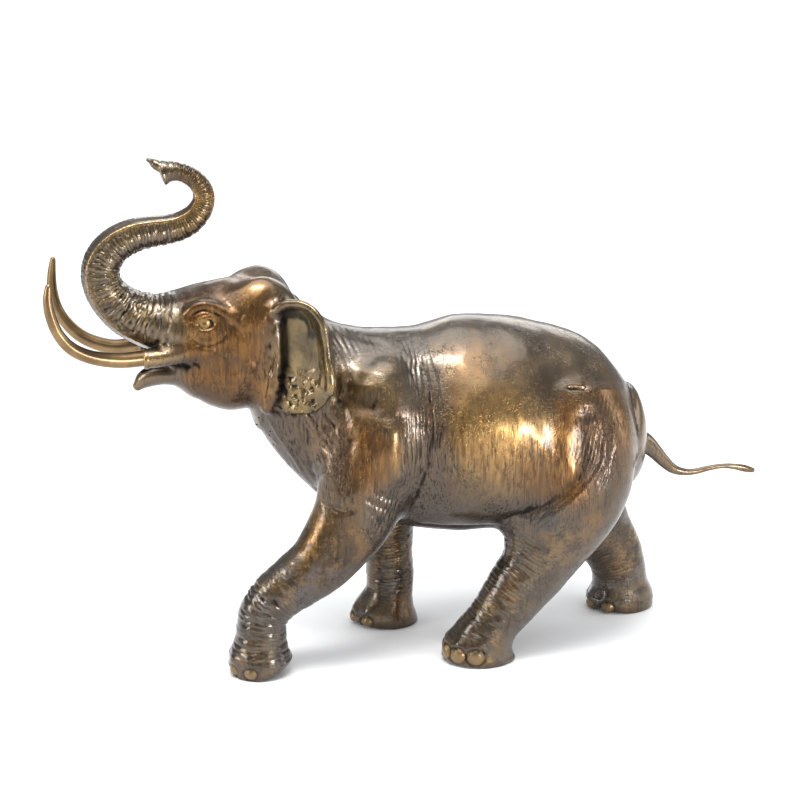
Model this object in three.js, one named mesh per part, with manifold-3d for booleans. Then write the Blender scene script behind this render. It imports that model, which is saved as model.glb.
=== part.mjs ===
// Striding elephant with a raised trunk, one hollow casting with two separate tusks.
// Millimetres, +Z up, soles on z = 0, head towards -X, the animal's left side towards -Y.
import * as THREE from 'three';
import Module from 'manifold-3d';

const wasm = await Module();
wasm.setup();

// ---------------------------------------------------------------- driving sizes
const TUSK_CLEARANCE = 0.3;      // slack all round a tusk root in its socket
const TUSK_SOCKET = 13;          // how deep a tusk sits in its sheath
const EAR_THICKNESS = 7;
const EAR_LIP = 6;               // how far the ear's free edge is turned out
const NAIL_SIZE = [5, 8.6, 7.8]; // half sizes of one toenail: out, across, up
const SOLE_SLACK = 60;           // depth of the block that trims the soles level
const CENTRE_X = 14.1;           // middle of the figure from tusks to tail, in the tables' own x
const CENTRE_Y = 2;

// Trunk of the body and neck: x, underside, top, half width.
const BODY = [
  [250, 168, 284, 44], [237, 153, 303, 59], [215, 142, 328, 70], [185, 139, 346, 80],
  [150, 134, 356, 85], [110, 131, 365, 90], [60, 130, 367, 92], [12, 137, 357, 86],
  [-32, 148, 358, 76], [-72, 162, 367, 64], [-95, 183, 382, 57], [-115, 204, 390, 52],
  [-135, 228, 394, 48], [-152, 254, 391, 44],
];
const HEAD = [
  [-122, 334, 401, 36], [-140, 306, 413, 46], [-165, 296, 419, 50], [-190, 300, 419, 48],
  [-215, 312, 413, 42], [-240, 330, 404, 36],
];

// Limbs and other rounded lengths: x, y, z, half width, half depth.
const JAW = [[-150, 0, 322, 38, 40], [-182, 0, 318, 44, 40], [-210, 0, 325, 40, 34]];
const LOWER_LIP = [
  [-205, 0, 318, 30, 22], [-230, 0, 321, 24, 16.5], [-251, 0, 321, 18, 13],
  [-264, 0, 318.5, 13.5, 12], [-273, 0, 313.5, 9.5, 9.5], [-280, 0, 307, 5, 5],
];
const TRUNK = [
  [-208, 0, 367, 41, 38], [-238, 0, 371, 37, 32.5], [-264, 0, 377, 31.5, 29.5],
  [-286, 0, 386.5, 27, 26.5], [-302, 0, 400, 23.5, 23.5], [-312, 0, 415.5, 21.5, 21.5],
  [-314.5, 0, 432, 20.5, 21], [-309, 0, 447.5, 20, 20.5], [-296.5, 0, 460, 19, 19.5],
  [-280.5, 0, 468, 18, 18.5], [-262, 0, 471.5, 17, 17.2], [-243, 0, 473.5, 15.8, 16],
  [-227, 0, 478, 14.8, 15.2], [-213.5, 0, 487, 13.5, 14], [-206, 0, 501, 12, 12.5],
  [-207.5, 0, 514.5, 11, 11.5], [-216, 0, 525, 10, 10.5], [-228, 0, 531.5, 9.5, 10],
  [-240, 0, 532.3, 9.4, 10.6], [-248, 0, 530.3, 10.4, 13.2],
];
const TRUNK_FINGER = [
  [-234, 0, 534, 8, 9], [-245, 0, 536.5, 8, 8.5], [-254, 0, 541, 5.5, 5.5], [-262, 0, 546, 2.4, 2],
];
const TAIL = [
  [255, 2, 222, 12, 16], [275, 4, 212, 8, 11], [287, 5, 201, 6.5, 8.5], [297, 5, 190, 5, 7],
  [308, 5, 180, 4.2, 5.6], [320, 5, 175.5, 3.8, 4.2], [334, 5, 175, 3.3, 3.4], [350, 5, 178, 3, 3],
  [366, 5, 179.5, 2.7, 2.7], [380, 5, 178, 2.6, 3.4], [392, 5, 175, 2.6, 4], [402, 5, 172, 1.8, 2.6],
];
const FORE_LEFT = [
  [-26, -38, 300, 30, 38], [-36, -50, 252, 35, 46], [-48, -58, 208, 34, 49],
  [-64, -60, 166, 31.5, 43.5], [-94, -60, 124, 28.5, 35.5], [-121, -58, 103, 26.5, 31.5],
  [-147, -57, 82, 26, 28.5], [-159, -56, 62, 25.5, 27], [-161, -56, 42, 26.5, 27.5],
  [-162.5, -56, 26, 29.5, 31.5], [-162, -56, 12, 31.5, 34], [-160, -56, 6, 31.5, 34],
];
const FORE_RIGHT = [
  [-26, 36, 300, 30, 40], [-20, 50, 252, 34, 50], [-10, 58, 205, 34, 46], [-4, 63, 150, 31, 36],
  [-1, 66, 100, 27.5, 28.5], [1.5, 68, 60, 25.5, 26.5], [1, 68, 38, 26, 26],
  [-3, 68, 18, 31, 34], [-5, 68, 4, 33, 39],
];
const HIND_LEFT = [
  [188, -36, 285, 34, 38], [186, -50, 240, 40, 57], [177, -58, 190, 41, 63], [160, -61, 150, 38, 56],
  [149, -61, 128, 36, 48], [134, -62, 99, 32, 39], [119, -63, 80, 29.5, 35.5],
  [104, -63, 60, 28, 32.5], [90, -63, 42, 28, 30], [80, -63, 26, 30, 34], [75, -63, 12, 32, 39],
  [74, -63, 4, 33, 40],
];
const HIND_RIGHT = [
  [188, 36, 285, 34, 38], [198, 50, 240, 40, 55], [207, 56, 188, 38, 53], [221, 60, 140, 33, 44],
  [241, 62, 98, 29, 37], [259, 64, 68, 28, 33], [266, 64, 48, 27.5, 31], [268, 64, 30, 28.5, 32],
  [269, 64, 14, 31, 38.5], [267, 64, 4, 32, 38.5],
];
const SHEATH = [
  [-205, 33, 356, 12, 12], [-232, 33, 350, 11, 11], [-258, 33, 346, 10, 10], [-275, 33, 344.5, 9.8, 9.8],
];
const TUSK_LEFT = [
  [-262, -33, 346, 7.8, 7.8], [-277, -34, 346, 8.2, 8.2], [-301, -41, 347, 8, 8],
  [-328, -49, 353.5, 7.3, 7.3], [-349, -54, 365, 6.8, 6.8], [-362.5, -56, 382, 6, 6],
  [-369.5, -57, 402, 5.7, 5.7], [-371.5, -57, 418, 4.8, 4.8], [-370.5, -56.5, 429, 3.6, 3.6],
];
const TUSK_RIGHT = [
  [-262, 33, 345, 7.8, 7.8], [-280, 34.5, 342.5, 8.2, 8.2], [-303, 41, 341, 8, 8],
  [-327, 48, 348, 7.3, 7.3], [-344, 53, 361, 6.8, 6.8], [-356, 56, 379, 6, 6],
  [-361, 57.5, 399, 5.7, 5.7], [-361, 57.5, 418, 4.7, 4.7], [-359.5, 56.5, 432, 3.3, 3.3],
];

// Rounded masses: centre x, y, z and half sizes. Mirrored ones are given for one side.
const SKULL_DOME = [-150, 24, 383, 38, 24, 42];
const BROW = [-208, 35, 396, 20, 8, 6.5];
const EYE = [-211, 37, 381, 8.4, 6, 7];
const BARREL = [88, 50, 234, 82, 46, 80];
const SHOULDER = [-28, 50, 262, 40, 32, 72];

// Toenails of each foot: how high they sit, their relative size, and their bearings from straight ahead.
const FEET = [
  { centre: [-163, -56], radius: [33, 31], height: 8.5, size: 0.72, bearings: [-62, -22, 20, 64] },
  { centre: [-5, 68], radius: [38, 33], height: 8, size: 0.72, bearings: [-80, -40, 4, 48] },
  { centre: [74, -63], radius: [39, 33], height: 13, size: 0.98, bearings: [-64, -28, 8, 41, 75] },
  { centre: [267, 64], radius: [37.5, 32], height: 7, size: 0.8, bearings: [-80, -38, 10, 56] },
];

// Ear outline seen from the side: x, z round the rim.
const EAR_RIM = [
  [-143, 394], [-134, 404], [-122, 407], [-109, 404.5], [-99, 396], [-93, 383], [-90, 365], [-88, 346],
  [-86, 325], [-88, 306], [-98, 292], [-115, 285], [-133, 286], [-147, 298], [-150, 330], [-148, 365],
];
const EAR_CENTRE = [-117, 352];

// ---------------------------------------------------------------- building helpers
const mix = (a, b, c, d, t) =>
  0.5 * (2 * b + (c - a) * t + (2 * a - 5 * b + 4 * c - d) * t * t + (3 * b - a - 3 * c + d) * t * t * t);

// Smooth run of stations through a table, evenly spaced along the table's rows.
function smoothRows(table, count, closed = false) {
  const n = table.length;
  const at = (i) => {
    if (closed) return table[(i + n) % n];
    if (i < 0) return table[0].map((v, k) => 2 * v - table[1][k]);
    if (i >= n) return table[n - 1].map((v, k) => 2 * v - table[n - 2][k]);
    return table[i];
  };
  const span = closed ? n : n - 1;
  const steps = closed ? count : count - 1;
  return Array.from({ length: count }, (_, j) => {
    const s = (j / steps) * span;
    const i = Math.min(Math.floor(s), span - 1);
    return table[0].map((_v, k) => mix(at(i - 1)[k], at(i)[k], at(i + 1)[k], at(i + 2)[k], s - i));
  });
}

// Closed skin over a run of rings, each ring a list of points, with a pole at both ends.
function skin(rings, poleA, poleB) {
  const around = rings[0].length;
  const points = [poleA, ...rings.flat(), poleB];
  const last = points.length - 1;
  const index = [];
  const id = (r, k) => 1 + r * around + ((k + around) % around);
  for (let k = 0; k < around; k += 1) {
    index.push(0, id(0, k + 1), id(0, k));
    index.push(last, id(rings.length - 1, k), id(rings.length - 1, k + 1));
  }
  for (let r = 0; r < rings.length - 1; r += 1) {
    for (let k = 0; k < around; k += 1) {
      index.push(id(r, k), id(r, k + 1), id(r + 1, k));
      index.push(id(r, k + 1), id(r + 1, k + 1), id(r + 1, k));
    }
  }
  return solid(points, index);
}

// Manifold solid from points and triangles, turned right side out.
function solid(points, index) {
  let volume = 0;
  const [a, b, c] = [new THREE.Vector3(), new THREE.Vector3(), new THREE.Vector3()];
  for (let i = 0; i < index.length; i += 3) {
    a.copy(points[index[i]]);
    b.copy(points[index[i + 1]]);
    c.copy(points[index[i + 2]]);
    volume += a.dot(b.cross(c));
  }
  const tris = volume > 0 ? index : index.slice().reverse();
  return new wasm.Manifold(new wasm.Mesh({
    numProp: 3,
    vertProperties: new Float32Array(points.flatMap((p) => p.toArray())),
    triVerts: new Uint32Array(tris),
  }));
}

// Extra rings that round off an end: [distance beyond the end, scale of the section].
function roundedEnd(reach, steps) {
  return Array.from({ length: steps }, (_, j) => {
    const a = ((j + 1) / (steps + 1)) * (Math.PI / 2);
    return [reach * Math.sin(a), Math.cos(a)];
  });
}

// Upright oval sections across X, for the trunk of the body and the head.
function uprightForm(rows, { count, around, frontReach, backReach, belly = 0, steps = 2 }) {
  const run = smoothRows(rows, count);
  const ring = (row, dx, scale) => {
    const [x, low, high, half] = row;
    return Array.from({ length: around }, (_, k) => {
      const a = (k / around) * 2 * Math.PI;
      const width = half * scale * (1 - belly * Math.sin(a));
      const z = (low + high) / 2 + ((high - low) / 2) * scale * Math.sin(a);
      return new THREE.Vector3(x + dx, width * Math.cos(a), z);
    });
  };
  const first = run[0];
  const last = run[run.length - 1];
  const away = Math.sign(first[0] - last[0]);
  const small = (row) => Math.min(row[3], (row[2] - row[1]) / 2);
  const back = backReach * small(first);
  const front = frontReach * small(last);
  const rings = [
    ...roundedEnd(back, steps).reverse().map(([d, s]) => ring(first, away * d, s)),
    ...run.map((row) => ring(row, 0, 1)),
    ...roundedEnd(front, steps).map(([d, s]) => ring(last, -away * d, s)),
  ];
  const pole = (row, dx) => new THREE.Vector3(row[0] + dx, 0, (row[1] + row[2]) / 2);
  return skin(rings, pole(first, away * back), pole(last, -away * front));
}

// Oval sections square to a bent path, for trunk, legs, tail, lip, sheaths and tusks.
function bentForm(stations, { count, around, reach = 0.3, startReach = reach, grow = 0, steps = 1 }) {
  const run = smoothRows(stations, count);
  const centre = run.map(([x, y, z]) => new THREE.Vector3(x, y, z));
  const along = centre.map((_, i) =>
    centre[Math.min(i + 1, count - 1)].clone().sub(centre[Math.max(i - 1, 0)]).normalize());
  const ring = (i, shift, scale) => {
    const t = along[i];
    const side = new THREE.Vector3(0, 1, 0).addScaledVector(t, -t.y).normalize();
    const deep = new THREE.Vector3().crossVectors(t, side);
    const [w, h] = [(run[i][3] + grow) * scale, (run[i][4] + grow) * scale];
    return Array.from({ length: around }, (_, k) => {
      const a = (k / around) * 2 * Math.PI;
      return centre[i].clone().addScaledVector(t, shift)
        .addScaledVector(side, w * Math.cos(a)).addScaledVector(deep, h * Math.sin(a));
    });
  };
  const end = count - 1;
  const small = (i) => Math.min(run[i][3], run[i][4]) + grow;
  const [a, b] = [startReach * small(0), reach * small(end)];
  const rings = [
    ...roundedEnd(a, steps).reverse().map(([d, s]) => ring(0, -d, s)),
    ...run.map((_, i) => ring(i, 0, 1)),
    ...roundedEnd(b, steps).map(([d, s]) => ring(end, d, s)),
  ];
  return skin(rings, centre[0].clone().addScaledVector(along[0], -a),
    centre[end].clone().addScaledVector(along[end], b));
}

function ball([x, y, z, rx, ry, rz], around = 12, stacks = 7) {
  const rings = Array.from({ length: stacks - 1 }, (_, j) => {
    const b = ((j + 1) / stacks) * Math.PI;
    return Array.from({ length: around }, (_v, k) => {
      const a = (k / around) * 2 * Math.PI;
      return new THREE.Vector3(
        x + rx * Math.sin(b) * Math.cos(a), y + ry * Math.sin(b) * Math.sin(a), z + rz * Math.cos(b));
    });
  });
  return skin(rings, new THREE.Vector3(x, y, z + rz), new THREE.Vector3(x, y, z - rz));
}

// How far an ear's middle sheet stands out from the mid plane at x, z.
function earOut(x, z, spread) {
  const across = Math.min(Math.max((x + 141) / 54, 0), 1.15);
  const up = (z - 350) / 60;
  const low = 5 * across * across * Math.min(up, 0) ** 2;
  const cup = 5 * Math.sin(Math.PI * Math.min(across, 1)) * (0.8 + 0.2 * up);
  return 41 + spread * (30 * across ** 0.9 + low - cup);
}

// Ear flap: a bent sheet with rounded rim. side is -1 for the animal's left.
function earFlap(side, { drop, spread }) {
  const around = 22;
  const rim = smoothRows(EAR_RIM, around, true);
  const levels = [0.3, 0.65, 0.92, 1];
  const face = (sign) => levels.map((f) => rim.map(([rx, rz]) => {
    const x = EAR_CENTRE[0] + (rx - EAR_CENTRE[0]) * f;
    const z = EAR_CENTRE[1] + (rz - EAR_CENTRE[1]) * f;
    const half = f === 1 ? 0 : EAR_THICKNESS / 2;
    const lip = f > 0.9 ? EAR_LIP * spread : 0;
    return new THREE.Vector3(x, side * (earOut(x, z, spread) + lip + sign * half), z - drop);
  }));
  const outer = face(1);
  const inner = face(-1).slice(0, -1).reverse();
  const pole = (sign) => new THREE.Vector3(EAR_CENTRE[0],
    side * (earOut(...EAR_CENTRE, spread) + (sign * EAR_THICKNESS) / 2), EAR_CENTRE[1] - drop);
  return skin([...outer, ...inner], pole(1), pole(-1));
}

function toenails() {
  const [out, across, up] = NAIL_SIZE;
  return FEET.flatMap(({ centre, radius, height, size, bearings }) => bearings.map((bearing) => {
    const a = THREE.MathUtils.degToRad(bearing);
    const x = centre[0] - (radius[0] - out / 2) * Math.cos(a);
    const y = centre[1] - (radius[1] - out / 2) * Math.sin(a);
    const nail = ball([0, 0, 0, out, across * size, up * size], 7, 4);
    return nail.rotate([0, 0, bearing]).translate([x, y, height]);
  }));
}

const mirrored = (rows) => rows.map(([x, y, ...rest]) => [x, -y, ...rest]);
const twin = ([x, y, ...rest]) => [[x, y, ...rest], [x, -y, ...rest]];

// ---------------------------------------------------------------- the pieces
function tusk(stations) {
  return bentForm(stations, { count: 12, around: 12, reach: 1.6, startReach: 0.15 });
}

function tuskSocket(stations) {
  const [root, next] = stations;
  const start = root.map((v, k) => (k < 3 ? v - (next[k] - v) * 0.02 : v));
  return bentForm([start, ...stations.slice(1, 3)],
    { count: 7, around: 12, reach: 0.1, startReach: 0.2, grow: TUSK_CLEARANCE });
}

function casting() {
  const legs = [FORE_LEFT, FORE_RIGHT, HIND_LEFT, HIND_RIGHT]
    .map((leg) => bentForm(leg, { count: 12, around: 16, reach: 0.15, startReach: 0.5 }));
  const forms = [
    uprightForm(BODY, { count: 18, around: 24, frontReach: 0.3, backReach: 0.5, belly: 0.06, steps: 3 }),
    uprightForm(HEAD, { count: 8, around: 18, frontReach: 0.4, backReach: 0.4 }),
    bentForm(JAW, { count: 5, around: 16, reach: 0.9, startReach: 0.6, steps: 2 }),
    bentForm(LOWER_LIP, { count: 8, around: 12, reach: 0.8 }),
    bentForm(TRUNK, { count: 33, around: 14, reach: 0.15 }),
    bentForm(TRUNK_FINGER, { count: 4, around: 8, reach: 0.8 }),
    bentForm(TAIL, { count: 16, around: 7, reach: 0.8 }),
    bentForm(SHEATH, { count: 5, around: 14, reach: 0.15 }),
    bentForm(mirrored(SHEATH), { count: 5, around: 14, reach: 0.15 }),
    earFlap(-1, { drop: 0, spread: 1 }),
    earFlap(1, { drop: 19, spread: 0.72 }),
    ...twin(SKULL_DOME).map((row) => ball(row, 12, 7)),
    ...twin(BROW).map((row) => ball(row, 8, 5)),
    ...twin(EYE).map((row) => ball(row, 8, 5)),
    ...twin(SHOULDER).map((row) => ball(row, 10, 6)),
    ...twin(BARREL).map((row) => ball(row, 12, 7)),
    ...legs,
    ...toenails(),
  ];
  const whole = forms.reduce((sum, form) => sum.add(form));
  const below = new THREE.BoxGeometry(1200, 600, SOLE_SLACK).translate(0, 0, -SOLE_SLACK / 2);
  return [fromBox(below), tuskSocket(TUSK_LEFT), tuskSocket(TUSK_RIGHT)]
    .reduce((sum, cut) => sum.subtract(cut), whole);
}

function fromBox(geometry) {
  const p = geometry.getAttribute('position');
  const places = new Map();
  const points = [];
  const index = Array.from(geometry.index.array, (i) => {
    const v = new THREE.Vector3().fromBufferAttribute(p, i);
    const key = v.toArray().join();
    if (!places.has(key)) {
      places.set(key, points.length);
      points.push(v);
    }
    return places.get(key);
  });
  return solid(points, index);
}

const BRONZE = new THREE.MeshStandardMaterial({ color: 0x6b4a2b, roughness: 0.35, metalness: 0.9 });
const POLISHED = new THREE.MeshStandardMaterial({ color: 0x9a7440, roughness: 0.25, metalness: 1 });

function mesh(name, manifold, material) {
  const data = manifold.getMesh();
  const geometry = new THREE.BufferGeometry();
  geometry.setAttribute('position', new THREE.BufferAttribute(data.vertProperties, 3));
  geometry.setIndex(new THREE.BufferAttribute(data.triVerts, 1));
  geometry.computeVertexNormals();
  const part = new THREE.Mesh(geometry, material);
  part.name = name;
  return part;
}

const group = new THREE.Group();
group.name = 'striding_elephant';
group.add(
  mesh('elephant', casting(), BRONZE),
  mesh('tusk_left', tusk(TUSK_LEFT), POLISHED),
  mesh('tusk_right', tusk(TUSK_RIGHT), POLISHED.clone()),
);

// The origin stands under the middle of the whole figure.
for (const part of group.children) part.geometry.translate(-CENTRE_X, -CENTRE_Y, 0);

export default group;
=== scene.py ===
# %% [markdown]
# # A striding bronze elephant
# The statue is one hollow casting, made by the lost-wax process, with a separate polished tusk
# set in each side of the mouth. This notebook builds its skin as a carved surface, lays the folds
# and wrinkles into it, and gives it a patina that is dark in the hollows and rubbed to gold on the
# high places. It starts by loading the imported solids, which fix where everything is.

# %% Load the solids
import math
import time
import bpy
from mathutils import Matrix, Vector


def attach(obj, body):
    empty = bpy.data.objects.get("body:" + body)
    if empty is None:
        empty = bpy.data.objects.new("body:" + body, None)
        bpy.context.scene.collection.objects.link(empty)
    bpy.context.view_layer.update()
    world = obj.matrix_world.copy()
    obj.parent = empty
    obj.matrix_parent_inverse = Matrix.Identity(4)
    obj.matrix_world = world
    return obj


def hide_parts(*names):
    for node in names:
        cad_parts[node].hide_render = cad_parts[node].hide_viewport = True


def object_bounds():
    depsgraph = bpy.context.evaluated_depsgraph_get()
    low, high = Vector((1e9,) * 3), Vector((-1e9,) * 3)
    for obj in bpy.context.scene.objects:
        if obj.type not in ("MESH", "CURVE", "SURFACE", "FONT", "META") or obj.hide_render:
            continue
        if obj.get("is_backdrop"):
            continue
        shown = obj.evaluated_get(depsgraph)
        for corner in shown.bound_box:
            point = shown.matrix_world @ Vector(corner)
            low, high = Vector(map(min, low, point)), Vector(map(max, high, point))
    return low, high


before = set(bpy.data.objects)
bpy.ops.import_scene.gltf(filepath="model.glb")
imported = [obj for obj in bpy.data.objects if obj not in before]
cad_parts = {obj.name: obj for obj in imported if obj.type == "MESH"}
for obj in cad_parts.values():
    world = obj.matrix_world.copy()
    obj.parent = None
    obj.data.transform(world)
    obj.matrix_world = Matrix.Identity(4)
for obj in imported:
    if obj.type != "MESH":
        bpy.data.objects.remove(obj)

from types import SimpleNamespace

import bpy
import numpy as np
from mathutils import Vector

started = time.time()
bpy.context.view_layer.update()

# %% [markdown]
# ## Camera
# A long lens far back keeps the legs from splaying. It looks at the elephant's left side, a little
# from the front and from above. The tables below are in millimetres with their own x and y, and
# `CENTRE` moves them so that the origin stands under the middle of the figure.

# %% Camera
CENTRE = np.array([14.1, 2.0, 0.0])
AZIMUTH, ELEVATION, DISTANCE = math.radians(-11), math.radians(16), 2.6
LENS, FILM, LOOK_HEIGHT = 109.35, 36.0, 0.277      # millimetres, millimetres, metres


def aim(thing, direction):
    """Turns a camera or a lamp to look along a direction."""
    thing.rotation_mode = "QUATERNION"
    thing.rotation_quaternion = Vector(direction).to_track_quat("-Z", "Y")


target = Vector((-CENTRE[0] / 1000, -CENTRE[1] / 1000, LOOK_HEIGHT))
back = Vector((math.sin(AZIMUTH) * math.cos(ELEVATION), -math.cos(AZIMUTH) * math.cos(ELEVATION),
               math.sin(ELEVATION)))
camera = bpy.data.objects.new("camera", bpy.data.cameras.new("camera"))
bpy.context.collection.objects.link(camera)
camera.data.lens, camera.data.sensor_width = LENS, FILM
camera.location = target + back * DISTANCE
aim(camera, -back)
bpy.context.scene.camera = camera
print("camera at", [round(v, 3) for v in camera.location])

# %% [markdown]
# ## Shader maths
# Materials are easier to read as formulas than as wires. `Value` wraps one output of a node, and
# its operators add Math nodes, so `1 - mask` is a node as well.

# %% Values
class Value:
    """One node output. a + b, a - b and a * b each add a Math node."""

    def __init__(self, bench, socket):
        self.bench, self.socket = bench, socket

    def _maths(self, operation, first, second=None):
        sockets = {0: first} if second is None else {0: first, 1: second}
        return self.bench.node("ShaderNodeMath", {"operation": operation}, sockets)

    def __add__(self, other):
        return self._maths("ADD", self, other)

    def __sub__(self, other):
        return self._maths("SUBTRACT", self, other)

    def __rsub__(self, other):
        return self._maths("SUBTRACT", other, self)

    def __mul__(self, other):
        return self._maths("MULTIPLY", self, other)

    __radd__, __rmul__ = __add__, __mul__

    def ramp(self, low, high):
        """0 below low, 1 above high, a smooth rise between; low may be the larger."""
        sockets = {"Value": self, "From Min": low, "From Max": high}
        return self.bench.node("ShaderNodeMapRange", {"interpolation_type": "SMOOTHSTEP"}, sockets)


# %% [markdown]
# `Bench` is where one material is put together. Its `node` method makes any kind of node, settings
# first and then sockets by name or number, and the methods after it are the few noises and mixes
# that the bronze needs.

# %% Bench
class Bench:
    """Builds one material's nodes."""

    def __init__(self, name):
        self.material = bpy.data.materials.new(name)
        self.material.use_nodes = True
        self.tree = self.material.node_tree
        self.tree.nodes.clear()

    def node(self, kind, settings=None, sockets=None, out=0):
        made = self.tree.nodes.new(kind)
        for key, value in (settings or {}).items():
            setattr(made, key, value)
        for key, value in (sockets or {}).items():
            if isinstance(value, Value):
                self.tree.links.new(value.socket, made.inputs[key])
            else:
                made.inputs[key].default_value = value
        return Value(self, made.outputs[out]) if len(made.outputs) else made

    def blend(self, amount, first, second):
        """Colour that goes from first to second as amount goes from 0 to 1."""
        def colour(c):
            return c if isinstance(c, Value) else (*c, 1.0)
        return self.node("ShaderNodeMix", {"data_type": "RGBA"},
                         {0: amount, 6: colour(first), 7: colour(second)}, out=2)

    def noise(self, vector, scale, detail=3.0, roughness=0.55, distortion=0.0):
        """Smooth noise about 0.5, with scale lumps to the metre."""
        return self.node("ShaderNodeTexNoise", {}, {
            "Vector": vector, "Scale": scale, "Detail": detail, "Roughness": roughness,
            "Distortion": distortion})

    def stretch(self, vector, scale, turn=(0, 0, 0)):
        """The place turned, then scaled along each axis, which draws noise out into strokes."""
        return self.node("ShaderNodeMapping", {}, {"Vector": vector, "Rotation": turn, "Scale": scale})

    def warp(self, vector, scale, amount):
        """The place moved about by smooth noise, so that stretched noise drawn there curves."""
        shift = self.node("ShaderNodeTexNoise", {}, {"Vector": vector, "Scale": scale, "Detail": 1.0}, out=1)
        return self.node("ShaderNodeVectorMath", {"operation": "MULTIPLY_ADD"},
                         {0: shift, 1: (amount,) * 3, 2: vector})

    def thread(self, noise, width):
        """1 along the wandering lines where the noise passes through its middle value."""
        return self.node("ShaderNodeMath", {"operation": "ABSOLUTE"}, {0: noise - 0.5}).ramp(width, 0.0)

    def place(self):
        """Where a point is, in metres, in the frame that all pieces share."""
        return self.node("ShaderNodeTexCoord", {}, {}, out="Object")

    def mark(self, name):
        """A number carried by the mesh's own vertices."""
        return self.node("ShaderNodeAttribute", {"attribute_name": name}, {}, out="Fac")

    def finish(self, **sockets):
        """Puts the sockets' values on the metal's shader and gives back the material."""
        shader = self.node("ShaderNodeBsdfPrincipled", {}, sockets)
        self.node("ShaderNodeOutputMaterial", {}, {"Surface": shader})
        return self.material


# %% [markdown]
# ## Studio
# The ground is a plain pale sheet, larger than the view. Polished metal shows what is around it
# more than it shows light, so a few wide soft boxes draw the highlights, and a dim grey world
# leaves the rest of the form dark enough to read.

# %% Floor
FLOOR_REACH = 9.0      # metres each way, larger than any view


def pale_floor():
    """A square of matt paper at the height of the soles."""
    r = FLOOR_REACH
    mesh = bpy.data.meshes.new("floor")
    mesh.from_pydata([(-r, -r, 0), (r, -r, 0), (r, r, 0), (-r, r, 0)], [], [(0, 1, 2, 3)])
    floor = bpy.data.objects.new("floor", mesh)
    bpy.context.collection.objects.link(floor)
    bench = Bench("pale_paper")
    grain = bench.noise(bench.place(), 3.0)
    tint = bench.blend(grain, (0.87, 0.87, 0.87), (0.90, 0.90, 0.90))
    mesh.materials.append(bench.finish(**{"Base Color": tint, "Roughness": 1.0, "Specular IOR Level": 0.0}))
    floor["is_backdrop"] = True


pale_floor()
print("floor:", 2 * FLOOR_REACH, "m square")

# %% [markdown]
# The sun is so broad that it casts only a faint shadow, and fills from above. Each soft box is a
# rectangle of light with a place and a point that it faces, and its size sets how wide a highlight
# it leaves on the barrel, the haunch and the trunk.

# %% Lights
def lamp(name, kind, direction, **settings):
    """A light of one kind that shines along a direction."""
    light = bpy.data.lights.new(name, kind)
    for key, value in settings.items():
        setattr(light, key, value)
    made = bpy.data.objects.new(name, light)
    bpy.context.collection.objects.link(made)
    aim(made, direction)
    return made


SOFT_BOXES = {      # place and point faced, width, height, in metres, and power in watts
    "above": ((-0.35, -0.75, 2.2), (0.05, 0, 0.25), 1.0, 0.42, 25),
    "left": ((-2.1, -0.55, 0.8), (-0.05, 0, 0.25), 0.6, 1.0, 17),
    "front": ((1.25, -2.1, 0.36), (0.1, 0, 0.25), 0.46, 0.46, 25),
    "right": ((2.1, -0.35, 0.75), (0.1, 0, 0.25), 0.8, 1.1, 9),
    "rim": ((0.7, 1.9, 1.5), (0, 0, 0.3), 2.2, 1.0, 20)}

lamp("overhead", "SUN", (0.12, 0.22, -1.0), energy=2.6, angle=math.radians(75))
for name, (at, faced, width, height, power) in SOFT_BOXES.items():
    box = lamp(name, "AREA", Vector(faced) - Vector(at), shape="RECTANGLE", size=width, size_y=height,
               energy=power)
    box.location = at

world = bpy.data.worlds.new("studio")
world.use_nodes = True
sky = world.node_tree.nodes["Background"].inputs
sky["Color"].default_value = (0.90, 0.94, 1.0, 1)
sky["Strength"].default_value = 0.40
bpy.context.scene.world = world
bpy.context.scene.view_settings.view_transform = "Standard"
print("lights: overhead,", ", ".join(SOFT_BOXES))

# %% [markdown]
# ## Rounded forms
# A modeller builds an elephant from rolls and lumps of clay pressed together. Here each lump is a
# field: a number at every point of space, negative inside and positive outside, close to the
# distance from the lump's skin. Fields can be blended with a soft minimum, which leaves the same
# fillet that a thumb leaves in clay, and that is why they were chosen over joined meshes. The
# helpers come first: a curve through a few rows of numbers, and a test for the space round a lump.

# %% Curves
def smooth_rows(rows, count, closed=False):
    """Catmull-Rom curve through the rows of a table, as count evenly stepped rows."""
    rows = np.asarray(rows, float)
    n = len(rows)
    if closed:
        at = np.linspace(0, n, count, endpoint=False)
        i = at.astype(int)
        a, b, c, d = rows[(i - 1) % n], rows[i % n], rows[(i + 1) % n], rows[(i + 2) % n]
    else:
        longer = np.vstack([2 * rows[0] - rows[1], rows, 2 * rows[-1] - rows[-2]])
        at = np.linspace(0, n - 1, count)
        i = np.minimum(at.astype(int), n - 2)
        a, b, c, d = longer[i], longer[i + 1], longer[i + 2], longer[i + 3]
    f = (at - i)[:, None]
    return 0.5 * (2 * b + (c - a) * f + (2 * a - 5 * b + 4 * c - d) * f**2
                  + (3 * b - a - 3 * c + d) * f**3)


def near(p, low, high, margin):
    """Which points are inside a box grown by a margin."""
    return np.all((p > low - margin) & (p < high + margin), axis=1)


print("curve through (0, 0), (2, 1), (4, 0):", smooth_rows([(0, 0), (2, 1), (4, 0)], 5).round(2).tolist())


FAR = 1e3          # the value of a form's field well away from it


def oval_field(r, q, small):
    """r (1 - 1/q), where r is the distance from the middle and q is 1 on the oval; about -small
    at the middle itself."""
    return np.where(q < 0.05, -small, r * (1 - 1 / np.maximum(q, 1e-6)))


# %% [markdown]
# The trunk, legs, tail, jaw and tusks are bent rolls. A roll is a path with an oval section square
# to it all the way. To find the field at a point, the nearest place on the path is found first, and
# then how far the point is out from it, measured in half sizes of the oval there.

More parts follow.
